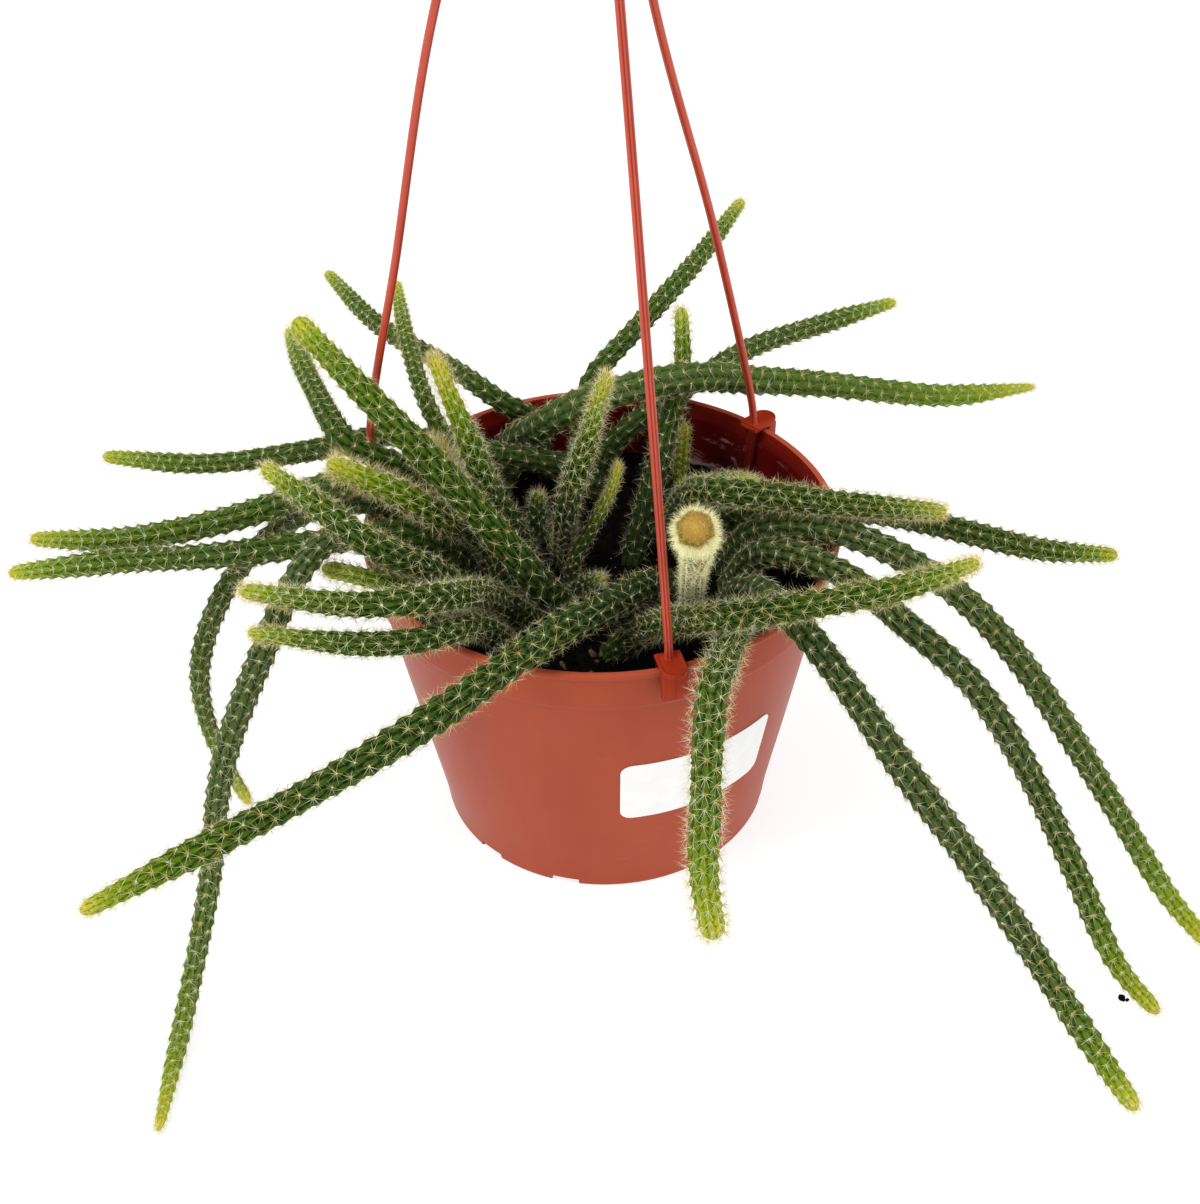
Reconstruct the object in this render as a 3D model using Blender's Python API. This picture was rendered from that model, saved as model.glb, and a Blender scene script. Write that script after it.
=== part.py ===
"""A potted rat tail cactus: a tapered plastic pot with a three-strand hanger clipped over its rim, potting mix up to
25 mm under the rim, a blank label on the wall and thirty-five trailing stems.

Frame: the origin is the centre of the pot's flat underside, +Z is up, and -Y is the side that faces a viewer.
Lengths in the tables are millimetres. Every piece is one closed body, and pieces that touch in life keep 0.3 mm apart.
"""

import math

import bpy
import numpy as np

MM = 0.001

for old in list(bpy.data.objects):
    bpy.data.objects.remove(old, do_unlink=True)

# ------------------------------------------------------------------ sizes
RIM_R = 78.0  # outside radius of the rolled lip
RIM_Z = 113.0  # height of the lip
SOIL_Z = 91.0  # level of the potting mix
ROOT_Z = 91.5  # stems start this high, just clear of the mix
SIDES = 48  # facets round the pot

# Pot section, radius and height, down the outside from the lip and back up the inside.
POT_OUTSIDE = [
    (77.3, 113.0),
    (78.0, 112.4),
    (78.0, 110.8),
    (76.7, 110.0),
    (75.6, 98.2),
    (74.4, 97.2),
    (67.6, 61.0),
    (60.3, 22.0),
    (58.1, 10.0),
    (57.3, 5.0),
    (57.0, 1.4),
    (56.6, 0.4),
    (55.9, 0.0),
]
POT_INSIDE = [
    (49.0, 2.2),
    (54.2, 5.0),
    (56.2, 10.6),
    (58.4, 22.4),
    (65.7, 61.2),
    (72.4, 97.0),
    (73.7, 108.0),
    (75.4, 109.2),
    (75.6, 112.2),
    (76.1, 113.0),
]

# Azimuths are degrees round the pot from -Y towards +X.
CLIP_AZIMUTHS = {"front": 15.0, "back": 134.0, "left": 254.0}
NOTCH_AZIMUTHS = (-45.0, -15.0, 75.0, 105.0, 195.0, 225.0)

# Each strand leaves its clip almost upright, leans in and gathers with the others under the hook.
STRANDS = {
    "front": [(19.3, -71.9, 113.9), (19.0, -71.0, 122), (7.2, -27.0, 300), (1.4, -9.0, 372), (0.5, -4.0, 395.5)],
    "back": [(53.7, 51.9, 113.9), (52.6, 51.0, 124), (37.0, 36.5, 200), (17.5, 21.0, 280), (2.6, 6.6, 372),
             (0.0, 3.8, 395.5)],
    "left": [(-71.8, 20.6, 113.9), (-75.5, 20.0, 128), (-60.5, 16.0, 205), (-43.0, 11.0, 285), (-13.0, 2.4, 372),
             (-7.2, 0.3, 395.5)],
}
STRAND_R = 1.45
HOOK = [(-2.5, 0, 396.5), (-2.5, 0, 412), (-4, 0, 420), (-13, 0, 427), (-15, 0, 437), (-9, 0, 446), (1, 0, 449),
        (11, 0, 444), (14.5, 0, 434), (12, 0, 427)]

# Stems: name, radius at the root half, then the route from the root to the tip.
STEMS = [
    ("stem_l01", 4.2, [(2, 42, 91), (-5, 40, 103), (-14, 31, 114), (-32, 31, 118), (-50, 37, 118),
                       (-70, 38.5, 122), (-93, 35, 119.5), (-134, 41, 110), (-177, 64, 98)]),
    ("stem_l02", 4.7, [(-50, 8, 91), (-58, 3, 117), (-72, -1, 130), (-87, 0.5, 129), (-113.5, -0.5, 119),
                       (-155, 5, 105.5), (-196, 25, 91)]),
    ("stem_l03", 4.6, [(-43, -5, 91), (-48, -13, 110), (-62, -20, 125), (-83, -18, 120.5), (-119, -16.5, 114.5),
                       (-160, -3, 102), (-201, 10, 88)]),
    ("stem_l04", 3.8, [(-19, 58, 91), (-24, 60, 114), (-32, 57, 121), (-49, 74, 124), (-79.5, 113, 119.5),
                       (-105.5, 168, 111.5)]),
    ("stem_l05", 3.3, [(-34, 36, 91), (-43, 20, 120), (-53.5, 25, 135), (-64.5, 65, 138), (-74, 124, 132)]),
    ("stem_l06", 5.1, [(-8, -27, 91), (-14, -29, 101), (-22, -34, 117), (-34, -31, 134), (-58, -14, 155),
                       (-76, 5, 164), (-97.5, 36.5, 168.5)]),
    ("stem_l07", 4.4, [(-46, 21, 91), (-51, 17, 112), (-66, 10, 130), (-79.5, 12.5, 134.5), (-98, 55.5, 131.5),
                       (-112, 105, 124)]),
    ("stem_l08", 4.2, [(-24, 3, 91), (-27, -3, 108), (-36, -3, 129), (-44, 3, 151), (-52.5, 17, 167)]),
    ("stem_l09", 4.8, [(-31, -10, 91), (-37, -12, 116), (-48, -20, 129), (-62, -26, 144), (-84, -20, 152)]),
    ("stem_l10", 4.5, [(-37, -22, 91), (-50, -37, 120), (-68, -50, 142), (-83, -41, 149), (-104, -19, 150)]),
    ("stem_l11", 4.0, [(-48, -26, 91), (-55, -30, 107), (-63, -40, 118.5), (-74, -38, 121), (-87.5, -31.5, 120)]),
    ("stem_l12", 4.5, [(-24, -24, 91), (-36, -39, 113.6), (-48, -65, 134), (-62, -73.5, 139), (-76, -68.5, 135),
                       (-109, -56.5, 131.5)]),
    ("stem_l13", 4.0, [(-27, -40, 91), (-39, -57.5, 116.5), (-54, -75, 126), (-71, -75, 125), (-107, -62.5, 120)]),
    ("stem_l14", 5.1, [(27, -12, 91), (16, -22, 103), (2, -45, 114), (-14, -66, 121), (-30, -87, 124),
                       (-51.5, -106.5, 121.5), (-83, -124, 112.5), (-116.5, -134.5, 99.5), (-149, -141, 84)]),
    ("stem_l15", 4.4, [(-60, -15, 91), (-63, -23, 110), (-70, -33, 128.5), (-81.5, -32, 133),
                       (-92.5, -40.5, 126.5), (-105, -55, 106), (-120, -69, 72), (-127.5, -85, 34),
                       (-134.5, -113, 8), (-137, -156.5, 4)]),
    ("stem_l16", 3.9, [(-62, 15, 91), (-66, 9, 112), (-80, 2, 120), (-93.5, 5.5, 115.5), (-107.5, 6, 107),
                       (-124, -2, 92), (-136, -14, 66), (-135, -18, 35), (-125, -24, 10)]),
    ("stem_l17", 4.2, [(-35, 8, 91), (-38, 5, 110), (-47, 6, 126), (-55, 11, 138)]),
    ("stem_l18", 4.2, [(-22, 19, 91), (-22, 21, 100), (-21, 28, 105)]),
    ("stem_r01", 3.9, [(-9, 56, 91), (-6, 60, 110), (-3, 61.5, 126.5), (14.5, 78, 139), (35, 111, 144),
                       (56.5, 164, 141.5)]),
    ("stem_r02", 4.2, [(1, 60, 91), (4, 60.5, 101), (16, 62, 112), (34, 72, 119), (55, 95.5, 118),
                       (85.5, 119.5, 113.5), (115, 144, 107.5)]),
    ("stem_r03", 5.6, [(-35, 52, 91), (-31, 52, 108), (-22, 40, 122), (-8, 33, 136), (14, 40, 139), (31, 49, 136),
                       (53, 63.5, 125), (79, 66, 121), (121, 68, 114), (159, 88.5, 103.5)]),
    ("stem_r04", 3.9, [(10, 6, 91), (18, 23, 112), (25, 46, 125), (29, 61, 129), (29.5, 71, 137.5), (29.5, 83, 143)]),
    ("stem_r05", 2.8, [(28.5, 52, 91), (29, 52, 104), (30, 51, 116)]),
    ("stem_r06", 3.0, [(35, 34, 91), (34, 30, 101), (37, 26, 108.5), (44, 24, 111.5), (53, 24, 110.5)]),
    ("stem_r07", 4.5, [(23, 18, 91), (29, 1, 122.5), (40, -17, 135.5), (76, -19.5, 132), (111.5, -6, 118)]),
    ("stem_r08", 4.5, [(34, 15, 91), (46, 7, 110), (64, -4, 119), (87, -4, 117), (112, 1, 107), (146, 7, 92),
                       (179, 23, 76)]),
    ("stem_r09", 4.7, [(40, 2, 91), (53, -17, 122), (78.5, -23, 122.2), (107.5, -37, 112.5), (127.5, -45, 94),
                       (146, -52.5, 68.5), (167, -61.5, 35.5), (184, -78, 12), (195, -93, 5)]),
    ("stem_r10", 4.7, [(42, -10, 91), (52, -29, 121), (74, -47, 125), (91.5, -62.5, 117.5), (112, -67.5, 98.5),
                       (132, -73.5, 66.5), (148, -86, 35.5), (161, -107, 12), (172, -120.5, 5)]),
    ("stem_r11", 5.0, [(39, -23, 91), (45, -37, 112), (56.5, -64, 122.5), (71, -82, 112), (88, -94.5, 89.5),
                       (108.5, -104, 61.5), (127.5, -114, 34), (143, -130, 14), (157, -157, 5)]),
    ("stem_r12", 4.4, [(3, -41, 91), (12, -43, 101), (20, -57, 116), (39, -76, 134), (65, -83, 144),
                       (87, -77, 144), (111.5, -58.5, 138)]),
    ("stem_r13", 5.0, [(40, -39, 91), (41, -50, 111), (39.5, -65, 121), (35.5, -78, 119.5), (31, -94, 121),
                       (29, -108, 114), (28, -118, 97), (27.5, -127, 78), (30.5, -134, 59.5)]),
    ("stem_r14", 3.9, [(27, -30, 91), (28, -34, 108), (27, -56, 134), (26, -92, 172), (24, -110, 192)]),
    ("stem_r15", 3.9, [(-13, 8, 91), (-11, -6, 122), (-4, -6, 148), (3, 3, 168)]),
    ("stem_r16", 2.5, [(-10.5, -4, 91), (-8, -5, 104), (-3.2, -4.6, 113), (0.6, -3.9, 121), (4.3, -2.4, 129),
                       (6, 0.4, 136)]),
    ("stem_r17", 3.0, [(-11, -11, 91), (-2, -14, 100), (1, -17, 102)]),
]


# ------------------------------------------------------------------ helpers
def add_mesh(name, verts, faces):
    mesh = bpy.data.meshes.new(name)
    mesh.from_pydata([tuple(float(c) * MM for c in v) for v in verts], [], faces)
    mesh.validate()
    mesh.update()
    obj = bpy.data.objects.new(name, mesh)
    bpy.context.scene.collection.objects.link(obj)
    return obj


def turned(name, section, sides=SIDES):
    """A body turned about Z. The section runs from the axis to the axis, and each end closes on a pole."""
    verts = [(0.0, 0.0, section[0][1])]
    for r, z in section[1:-1]:
        for k in range(sides):
            a = 2 * math.pi * k / sides
            verts.append((r * math.sin(a), -r * math.cos(a), z))
    verts.append((0.0, 0.0, section[-1][1]))
    rings = len(section) - 2
    last = len(verts) - 1
    faces = []
    for k in range(sides):
        n = (k + 1) % sides
        faces.append((0, 1 + n, 1 + k))
        for i in range(rings - 1):
            a, b = 1 + i * sides, 1 + (i + 1) * sides
            faces.append((a + k, a + n, b + n, b + k))
        a = 1 + (rings - 1) * sides
        faces.append((a + k, a + n, last))
    return add_mesh(name, verts, faces)


def face_out(obj):
    """Turns every face outwards, by the sign of the volume."""
    mesh = obj.data
    mesh.calc_loop_triangles()
    pts = np.array([v.co for v in mesh.vertices])
    vol = sum(float(np.dot(pts[t.vertices[0]], np.cross(pts[t.vertices[1]], pts[t.vertices[2]])))
              for t in mesh.loop_triangles)
    if vol < 0:
        mesh.flip_normals()
    return obj


def through_points(points, per=24):
    """A centripetal Catmull-Rom curve through the points."""
    p = np.array(points, float)
    p = np.vstack([2 * p[0] - p[1], p, 2 * p[-1] - p[-2]])
    out = []
    for i in range(1, len(p) - 2):
        a, b, c, d = p[i - 1:i + 3]
        t1 = np.linalg.norm(b - a) ** 0.5
        t2 = t1 + np.linalg.norm(c - b) ** 0.5
        t3 = t2 + np.linalg.norm(d - c) ** 0.5
        for t in np.linspace(t1, t2, per, endpoint=False):
            a1 = (t1 - t) / t1 * a + t / t1 * b
            a2 = (t2 - t) / (t2 - t1) * b + (t - t1) / (t2 - t1) * c
            a3 = (t3 - t) / (t3 - t2) * c + (t - t2) / (t3 - t2) * d
            b1 = (t2 - t) / t2 * a1 + t / t2 * a2
            b2 = (t3 - t) / (t3 - t1) * a2 + (t - t1) / (t3 - t1) * a3
            out.append((t2 - t) / (t2 - t1) * b1 + (t - t1) / (t2 - t1) * b2)
    out.append(p[-2])
    return np.array(out)


def spaced(curve, step):
    s = np.r_[0, np.cumsum(np.linalg.norm(np.diff(curve, axis=0), axis=1))]
    at = np.linspace(0, s[-1], max(2, int(round(s[-1] / step)) + 1))
    return np.stack([np.interp(at, s, curve[:, k]) for k in range(3)], 1), s[-1]


def route(points):
    """The stem's centre line at 1 mm steps, eased at its bends."""
    curve, _ = spaced(through_points(points), 1.0)
    for _ in range(3):
        eased = curve.copy()
        for i in range(1, len(curve) - 1):
            w = min(3, i, len(curve) - 1 - i)
            eased[i] = curve[i - w:i + w + 1].mean(0)
        curve = eased
    curve[0, 2] = ROOT_Z
    return spaced(curve, 1.0)


def carried_frames(points):
    """Tangents and a side direction that doesn't twist along the line."""
    t = np.gradient(points, axis=0)
    t /= np.linalg.norm(t, axis=1)[:, None]
    side = np.cross(t[0], (0.31, 0.95, 0.02))
    side /= np.linalg.norm(side)
    sides = [side]
    for i in range(1, len(points)):
        side = sides[-1] - np.dot(sides[-1], t[i]) * t[i]
        sides.append(side / np.linalg.norm(side))
    return t, np.array(sides)


def tube(name, centres, tangents, sides, radii, around=8, flat_root=None, pole_root=False):
    """Rings joined along a line. The tip closes on a pole, and the root on a flat ring or a pole."""
    verts, faces = [], []
    for c, t, s, r in zip(centres, tangents, sides, radii):
        u = np.cross(t, s)
        for k in range(around):
            a = 2 * math.pi * k / around
            verts.append(c + r * (math.cos(a) * s + math.sin(a) * u))
    if flat_root is not None:
        for k in range(around):
            verts[k] = np.array([verts[k][0], verts[k][1], flat_root])
        for k in range(around, 3 * around):
            verts[k][2] = max(verts[k][2], flat_root + 0.5 * (k // around))
    for i in range(len(centres) - 1):
        for k in range(around):
            n = (k + 1) % around
            a, b = i * around, (i + 1) * around
            faces.append((a + k, a + n, b + n, b + k))
    faces.append(tuple(range(around - 1, -1, -1)))
    faces.append(tuple((len(centres) - 1) * around + k for k in range(around)))
    return face_out(add_mesh(name, verts, faces))


# ------------------------------------------------------------------ stems
# Most stems thin by a seventh over the tip half. These thin more, or swell into a knob.
SLIM = {"stem_l14": 0.80, "stem_l15": 0.66, "stem_l16": 0.80, "stem_r03": 0.60, "stem_r13": 1.00,
        "stem_r14": 1.20, "stem_r15": 0.80}


def build_stem(name, radius, points):
    """A stem keeps its radius for the root half, then thins towards a narrow rounded tip."""
    slim = SLIM.get(name, 0.86)
    line, length = route(points)
    t, s = carried_frames(line)
    along = np.linspace(0, length, len(line))
    turn = np.r_[0, np.degrees(np.arccos(np.clip((t[1:] * t[:-1]).sum(1), -1, 1)))]
    cost = np.cumsum(np.r_[0, np.diff(along)] / 19.0 + turn / 33.0)
    tip_start = np.interp(length - 6.0, along, cost)
    rings = max(3, int(math.ceil(tip_start)))
    stations = list(np.interp(np.linspace(0, tip_start, rings + 1), cost, along))
    stations += [length - 2.6, length - 0.7]
    centres, tang, side, radii = [], [], [], []
    for d in stations:
        f = lambda arr: np.array([np.interp(d, along, arr[:, k]) for k in range(3)])
        tt, ss = f(t), f(s)
        tt /= np.linalg.norm(tt)
        ss -= np.dot(ss, tt) * tt
        ss /= np.linalg.norm(ss)
        left = length - d
        r = radius * (slim + (1 - slim) * min(1.0, left / (0.5 * length)))
        r *= 1.0 if left > 5 else (0.82 if left > 1.5 else 0.45)
        centres.append(f(line))
        tang.append(tt)
        side.append(ss)
        radii.append(r)
    # The root stands upright on the mix, so its lowest ring is level.
    tang[0] = np.array([0.0, 0.0, 1.0])
    side[0] = side[0] * np.array([1, 1, 0])
    side[0] /= np.linalg.norm(side[0])
    side[0] = side[0]
    return tube(name, centres, tang, side, radii, flat_root=ROOT_Z)


for stem_name, stem_radius, stem_points in STEMS:
    build_stem(stem_name, stem_radius, stem_points)

# ------------------------------------------------------------------ pot
pot = face_out(turned("pot", [(0, 0.0)] + POT_OUTSIDE[::-1] + POT_INSIDE[::-1] + [(0, 2.2)]))


def block(corner_lo, corner_hi, azimuth, rise=0.0):
    """A box with X as the radius, turned to its azimuth. rise lifts its far upper edge."""
    (x0, y0, z0), (x1, y1, z1) = corner_lo, corner_hi
    pts = [(x0, y0, z0), (x1, y0, z0), (x1, y1, z0), (x0, y1, z0),
           (x0, y0, z1), (x1, y0, z1 + rise), (x1, y1, z1 + rise), (x0, y1, z1)]
    a = math.radians(azimuth)
    out = [(x * math.sin(a) + y * math.cos(a), -x * math.cos(a) + y * math.sin(a), z) for x, y, z in pts]
    return out, [(0, 3, 2, 1), (4, 5, 6, 7), (0, 1, 5, 4), (1, 2, 6, 5), (2, 3, 7, 6), (3, 0, 4, 7)]


def cutter(name, pieces):
    verts, faces = [], []
    for v, f in pieces:
        faces += [tuple(i + len(verts) for i in face) for face in f]
        verts += v
    obj = add_mesh(name, verts, faces)
    obj.hide_render = True
    obj.display_type = "WIRE"
    return obj


def rod(radius, azimuth, distance, z0, z1, around=12):
    a = math.radians(azimuth)
    cx, cy = distance * math.sin(a), -distance * math.cos(a)
    ring = [(cx + radius * math.cos(2 * math.pi * k / around), cy + radius * math.sin(2 * math.pi * k / around))
            for k in range(around)]
    verts = [(x, y, z0) for x, y in ring] + [(x, y, z1) for x, y in ring]
    faces = [tuple(range(around - 1, -1, -1)), tuple(range(around, 2 * around))]
    faces += [(k, (k + 1) % around, around + (k + 1) % around, around + k) for k in range(around)]
    return verts, faces


def boolean(obj, other, operation):
    mod = obj.modifiers.new(operation.lower(), "BOOLEAN")
    mod.operation = operation
    mod.solver = "EXACT"
    mod.object = other
    return mod


# Shallow channels let water out from under the pot, and each has a drain hole at its inner end.
channels = cutter("cut_channels", [block((40, -4.8, -2.0), (64, 4.8, 0.3), a, 3.3) for a in NOTCH_AZIMUTHS])
drains = cutter("cut_drains", [rod(3.0, a, 42.0, -3.0, 3.2) for a in NOTCH_AZIMUTHS])
boolean(pot, channels, "DIFFERENCE")
boolean(pot, drains, "DIFFERENCE")

# ------------------------------------------------------------------ potting mix
mix = [(0, 2.6), (48.4, 2.6), (53.7, 5.3), (55.7, 10.7), (57.9, 22.5), (65.2, 61.2), (70.6, 90.2), (66.0, 91.0),
       (0, 91.0)]
face_out(turned("potting_mix", mix))


# ------------------------------------------------------------------ label
def wall_radius(z):
    heights = [p[1] for p in POT_OUTSIDE[::-1]]
    radii = [p[0] for p in POT_OUTSIDE[::-1]]
    return float(np.interp(z, heights, radii))


def build_label(lo_az=3.7, hi_az=51.0, lo_z=39.0, hi_z=67.0, corner=4.0, lift=0.34, thick=0.28):
    """A thin sticker with rounded corners, standing just off the tapered wall."""
    columns = 14
    top_mid = 0.5 * (wall_radius(lo_z) + wall_radius(hi_z))
    width = math.radians(hi_az - lo_az) * top_mid
    across = np.r_[0.0, 0.6, 1.7, 4.0, np.linspace(4.0, width - 4.0, columns)[1:-1], width - 4.0, width - 1.7,
                   width - 0.6, width]
    inner, outer = [], []
    for x in across:
        d = min(x, width - x)
        pull = corner - math.sqrt(max(0.0, corner ** 2 - (corner - d) ** 2)) if d < corner else 0.0
        az = math.radians(lo_az) + x / top_mid
        for z in (lo_z + pull, hi_z - pull):
            for lst, off in ((inner, lift), (outer, lift + thick)):
                r = wall_radius(z) + off
                lst.append((r * math.sin(az), -r * math.cos(az), z))
    n = len(across)
    verts = inner + outer
    faces = []
    for i in range(n - 1):
        a, b = 2 * i, 2 * (i + 1)
        faces.append((a, a + 1, b + 1, b))
        faces.append((2 * n + a, 2 * n + b, 2 * n + b + 1, 2 * n + a + 1))
        faces.append((a, b, 2 * n + b, 2 * n + a))
        faces.append((a + 1, 2 * n + a + 1, 2 * n + b + 1, b + 1))
    faces.append((0, 2 * n, 2 * n + 1, 1))
    e = 2 * (n - 1)
    faces.append((e, e + 1, 2 * n + e + 1, 2 * n + e))
    return face_out(add_mesh("label", verts, faces))


build_label()


# ------------------------------------------------------------------ hanger
def prism(name, section, half_width, azimuth):
    """A section in radius and height, given a width and turned to its azimuth."""
    a = math.radians(azimuth)
    verts = []
    for y in (-half_width, half_width):
        verts += [(x * math.sin(a) + y * math.cos(a), -x * math.cos(a) + y * math.sin(a), z) for x, z in section]
    n = len(section)
    faces = [tuple(range(n)), tuple(range(2 * n - 1, n - 1, -1))]
    faces += [(k, k + n, (k + 1) % n + n, (k + 1) % n) for k in range(n)]
    return face_out(add_mesh(name, verts, faces))


def hidden(obj):
    obj.hide_render = True
    obj.display_type = "WIRE"
    return obj


# The clip's saddle goes over the lip. Its outer block hangs 10 mm down the collar.
SADDLE = [(73.0, 113.5), (78.4, 113.5), (78.4, 103.6), (81.6, 103.6), (82.0, 113.0), (82.0, 115.4), (72.6, 115.4),
          (72.0, 114.6), (71.6, 113.5)]
# Its inner blade is a narrow leg that follows the wall down inside the pot.
BLADE = [(71.9, 114.2), (73.1, 114.2), (73.0, 108.0), (71.6, 97.0), (70.4, 97.0), (70.8, 108.0)]

for where, azimuth in CLIP_AZIMUTHS.items():
    clip = prism("hanger_" + where, SADDLE, 4.25, azimuth)
    boolean(clip, hidden(prism("add_blade_" + where, BLADE, 2.1, azimuth)), "UNION")
    lobe_v, lobe_f = rod(4.0, azimuth, 80.6, 113.8, 115.1, 16)
    boolean(clip, hidden(face_out(add_mesh("add_lobe_" + where, lobe_v, lobe_f))), "UNION")
    line, _ = spaced(through_points(STRANDS[where]), 1.0)
    keep = np.unique(np.r_[0, 8, 14, np.linspace(22, len(line) - 1, 9).astype(int)])
    t, s = carried_frames(line)
    strand = tube("add_strand_" + where, line[keep], t[keep], s[keep], [STRAND_R] * len(keep), around=6)
    boolean(clip, hidden(strand), "UNION")

# The hook: a collar that takes the three strand ends, a short neck and a J.
line, _ = spaced(through_points(HOOK), 1.0)
keep = np.unique(np.linspace(0, len(line) - 1, 18).astype(int))
t, s = carried_frames(line)
hook = tube("hanger_hook", line[keep], t[keep], s[keep],
            [7.2, 7.0, 3.2] + [2.3] * (len(keep) - 5) + [2.2, 1.5], around=8)
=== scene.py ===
"""A potted rat tail cactus: ribbed and spined stems, a moulded pot with its hanger, loose mix and a blank label.

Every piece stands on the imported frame, so a length here is in the frame's own coordinates. Tables and shapes are in
millimetres and are scaled to metres when a mesh is made.
"""

import math

import bpy
import numpy as np
from mathutils import Matrix, Vector, noise


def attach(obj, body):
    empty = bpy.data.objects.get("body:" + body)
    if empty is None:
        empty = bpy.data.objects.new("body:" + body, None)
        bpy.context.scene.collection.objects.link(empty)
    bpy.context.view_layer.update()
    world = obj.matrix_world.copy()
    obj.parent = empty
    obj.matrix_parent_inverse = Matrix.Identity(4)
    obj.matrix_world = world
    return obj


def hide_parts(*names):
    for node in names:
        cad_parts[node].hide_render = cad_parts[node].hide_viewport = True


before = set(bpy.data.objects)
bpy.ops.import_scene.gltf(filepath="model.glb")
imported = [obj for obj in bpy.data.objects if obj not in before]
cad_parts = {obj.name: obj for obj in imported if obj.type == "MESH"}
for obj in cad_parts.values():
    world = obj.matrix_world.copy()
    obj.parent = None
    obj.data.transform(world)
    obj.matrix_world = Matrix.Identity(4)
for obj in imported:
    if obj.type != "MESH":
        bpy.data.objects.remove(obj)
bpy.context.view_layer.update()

MM = 0.001
scene = bpy.context.scene


# ====================================================================== materials
class Paint:
    """A Principled material with short names for the nodes it uses."""

    def __init__(self, name, rough=0.5, specular=0.5):
        self.mat = bpy.data.materials.new(name)
        self.mat.use_nodes = True
        self.tree = self.mat.node_tree
        self.bsdf = next(n for n in self.tree.nodes if n.type == "BSDF_PRINCIPLED")
        self.bsdf.inputs["Roughness"].default_value = rough
        self.bsdf.inputs["Specular IOR Level"].default_value = specular

    def put(self, socket, value):
        if isinstance(value, bpy.types.NodeSocket):
            self.tree.links.new(value, socket)
        elif isinstance(value, (tuple, list)) and len(value) == 3 and socket.type == "RGBA":
            socket.default_value = (*value, 1.0)
        else:
            socket.default_value = value

    def attr(self, name, vector=False):
        n = self.tree.nodes.new("ShaderNodeAttribute")
        n.attribute_name = name
        return n.outputs["Vector" if vector else "Fac"]

    def place(self):
        return self.tree.nodes.new("ShaderNodeTexCoord").outputs["Object"]

    def moved(self, vector, scale=(1, 1, 1), offset=(0, 0, 0)):
        n = self.tree.nodes.new("ShaderNodeMapping")
        self.put(n.inputs["Vector"], vector)
        n.inputs["Scale"].default_value = scale
        n.inputs["Location"].default_value = offset
        return n.outputs["Vector"]

    def noise(self, vector, scale, detail=3.0, rough=0.5, warp=0.0):
        n = self.tree.nodes.new("ShaderNodeTexNoise")
        self.put(n.inputs["Vector"], vector)
        n.inputs["Scale"].default_value = scale
        n.inputs["Detail"].default_value = detail
        n.inputs["Roughness"].default_value = rough
        n.inputs["Distortion"].default_value = warp
        return n.outputs["Fac"]

    def cells(self, vector, scale, feature="F1"):
        n = self.tree.nodes.new("ShaderNodeTexVoronoi")
        n.feature = feature
        self.put(n.inputs["Vector"], vector)
        n.inputs["Scale"].default_value = scale
        return n.outputs["Distance"]

    def split(self, vector):
        n = self.tree.nodes.new("ShaderNodeSeparateXYZ")
        self.put(n.inputs[0], vector)
        return n.outputs[0], n.outputs[1], n.outputs[2]

    def math(self, op, a, b=0.0, clamp=False):
        n = self.tree.nodes.new("ShaderNodeMath")
        n.operation = op
        n.use_clamp = clamp
        self.put(n.inputs[0], a)
        self.put(n.inputs[1], b)
        return n.outputs[0]

    def span(self, value, lo, hi, to_lo=0.0, to_hi=1.0, smooth=False):
        n = self.tree.nodes.new("ShaderNodeMapRange")
        n.interpolation_type = "SMOOTHSTEP" if smooth else "LINEAR"
        n.clamp = True
        for key, v in zip(("Value", "From Min", "From Max", "To Min", "To Max"), (value, lo, hi, to_lo, to_hi)):
            self.put(n.inputs[key], v)
        return n.outputs["Result"]

    def ramp(self, fac, stops):
        n = self.tree.nodes.new("ShaderNodeValToRGB")
        e = n.color_ramp.elements
        while len(e) < len(stops):
            e.new(0.5)
        for el, (at, colour) in zip(e, stops):
            el.position = at
            el.color = (*colour, 1.0)
        self.put(n.inputs["Fac"], fac)
        return n.outputs["Color"]

    def mix(self, fac, a, b, mode="MIX"):
        n = self.tree.nodes.new("ShaderNodeMix")
        n.data_type = "RGBA"
        n.blend_type = mode
        self.put(n.inputs[0], fac)
        self.put(n.inputs[6], a)
        self.put(n.inputs[7], b)
        return n.outputs[2]

    def bump(self, height, distance, strength=1.0, normal=None):
        n = self.tree.nodes.new("ShaderNodeBump")
        n.inputs["Strength"].default_value = strength
        n.inputs["Distance"].default_value = distance
        self.put(n.inputs["Height"], height)
        if normal is not None:
            self.put(n.inputs["Normal"], normal)
        return n.outputs["Normal"]

    def finish(self, colour=None, rough=None, normal=None):
        if colour is not None:
            self.put(self.bsdf.inputs["Base Color"], colour)
        if rough is not None:
            self.put(self.bsdf.inputs["Roughness"], rough)
        if normal is not None:
            self.put(self.bsdf.inputs["Normal"], normal)
        return self.mat


def plain(name, colour, rough, specular=0.4):
    return Paint(name, rough, specular).finish(colour)


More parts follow.
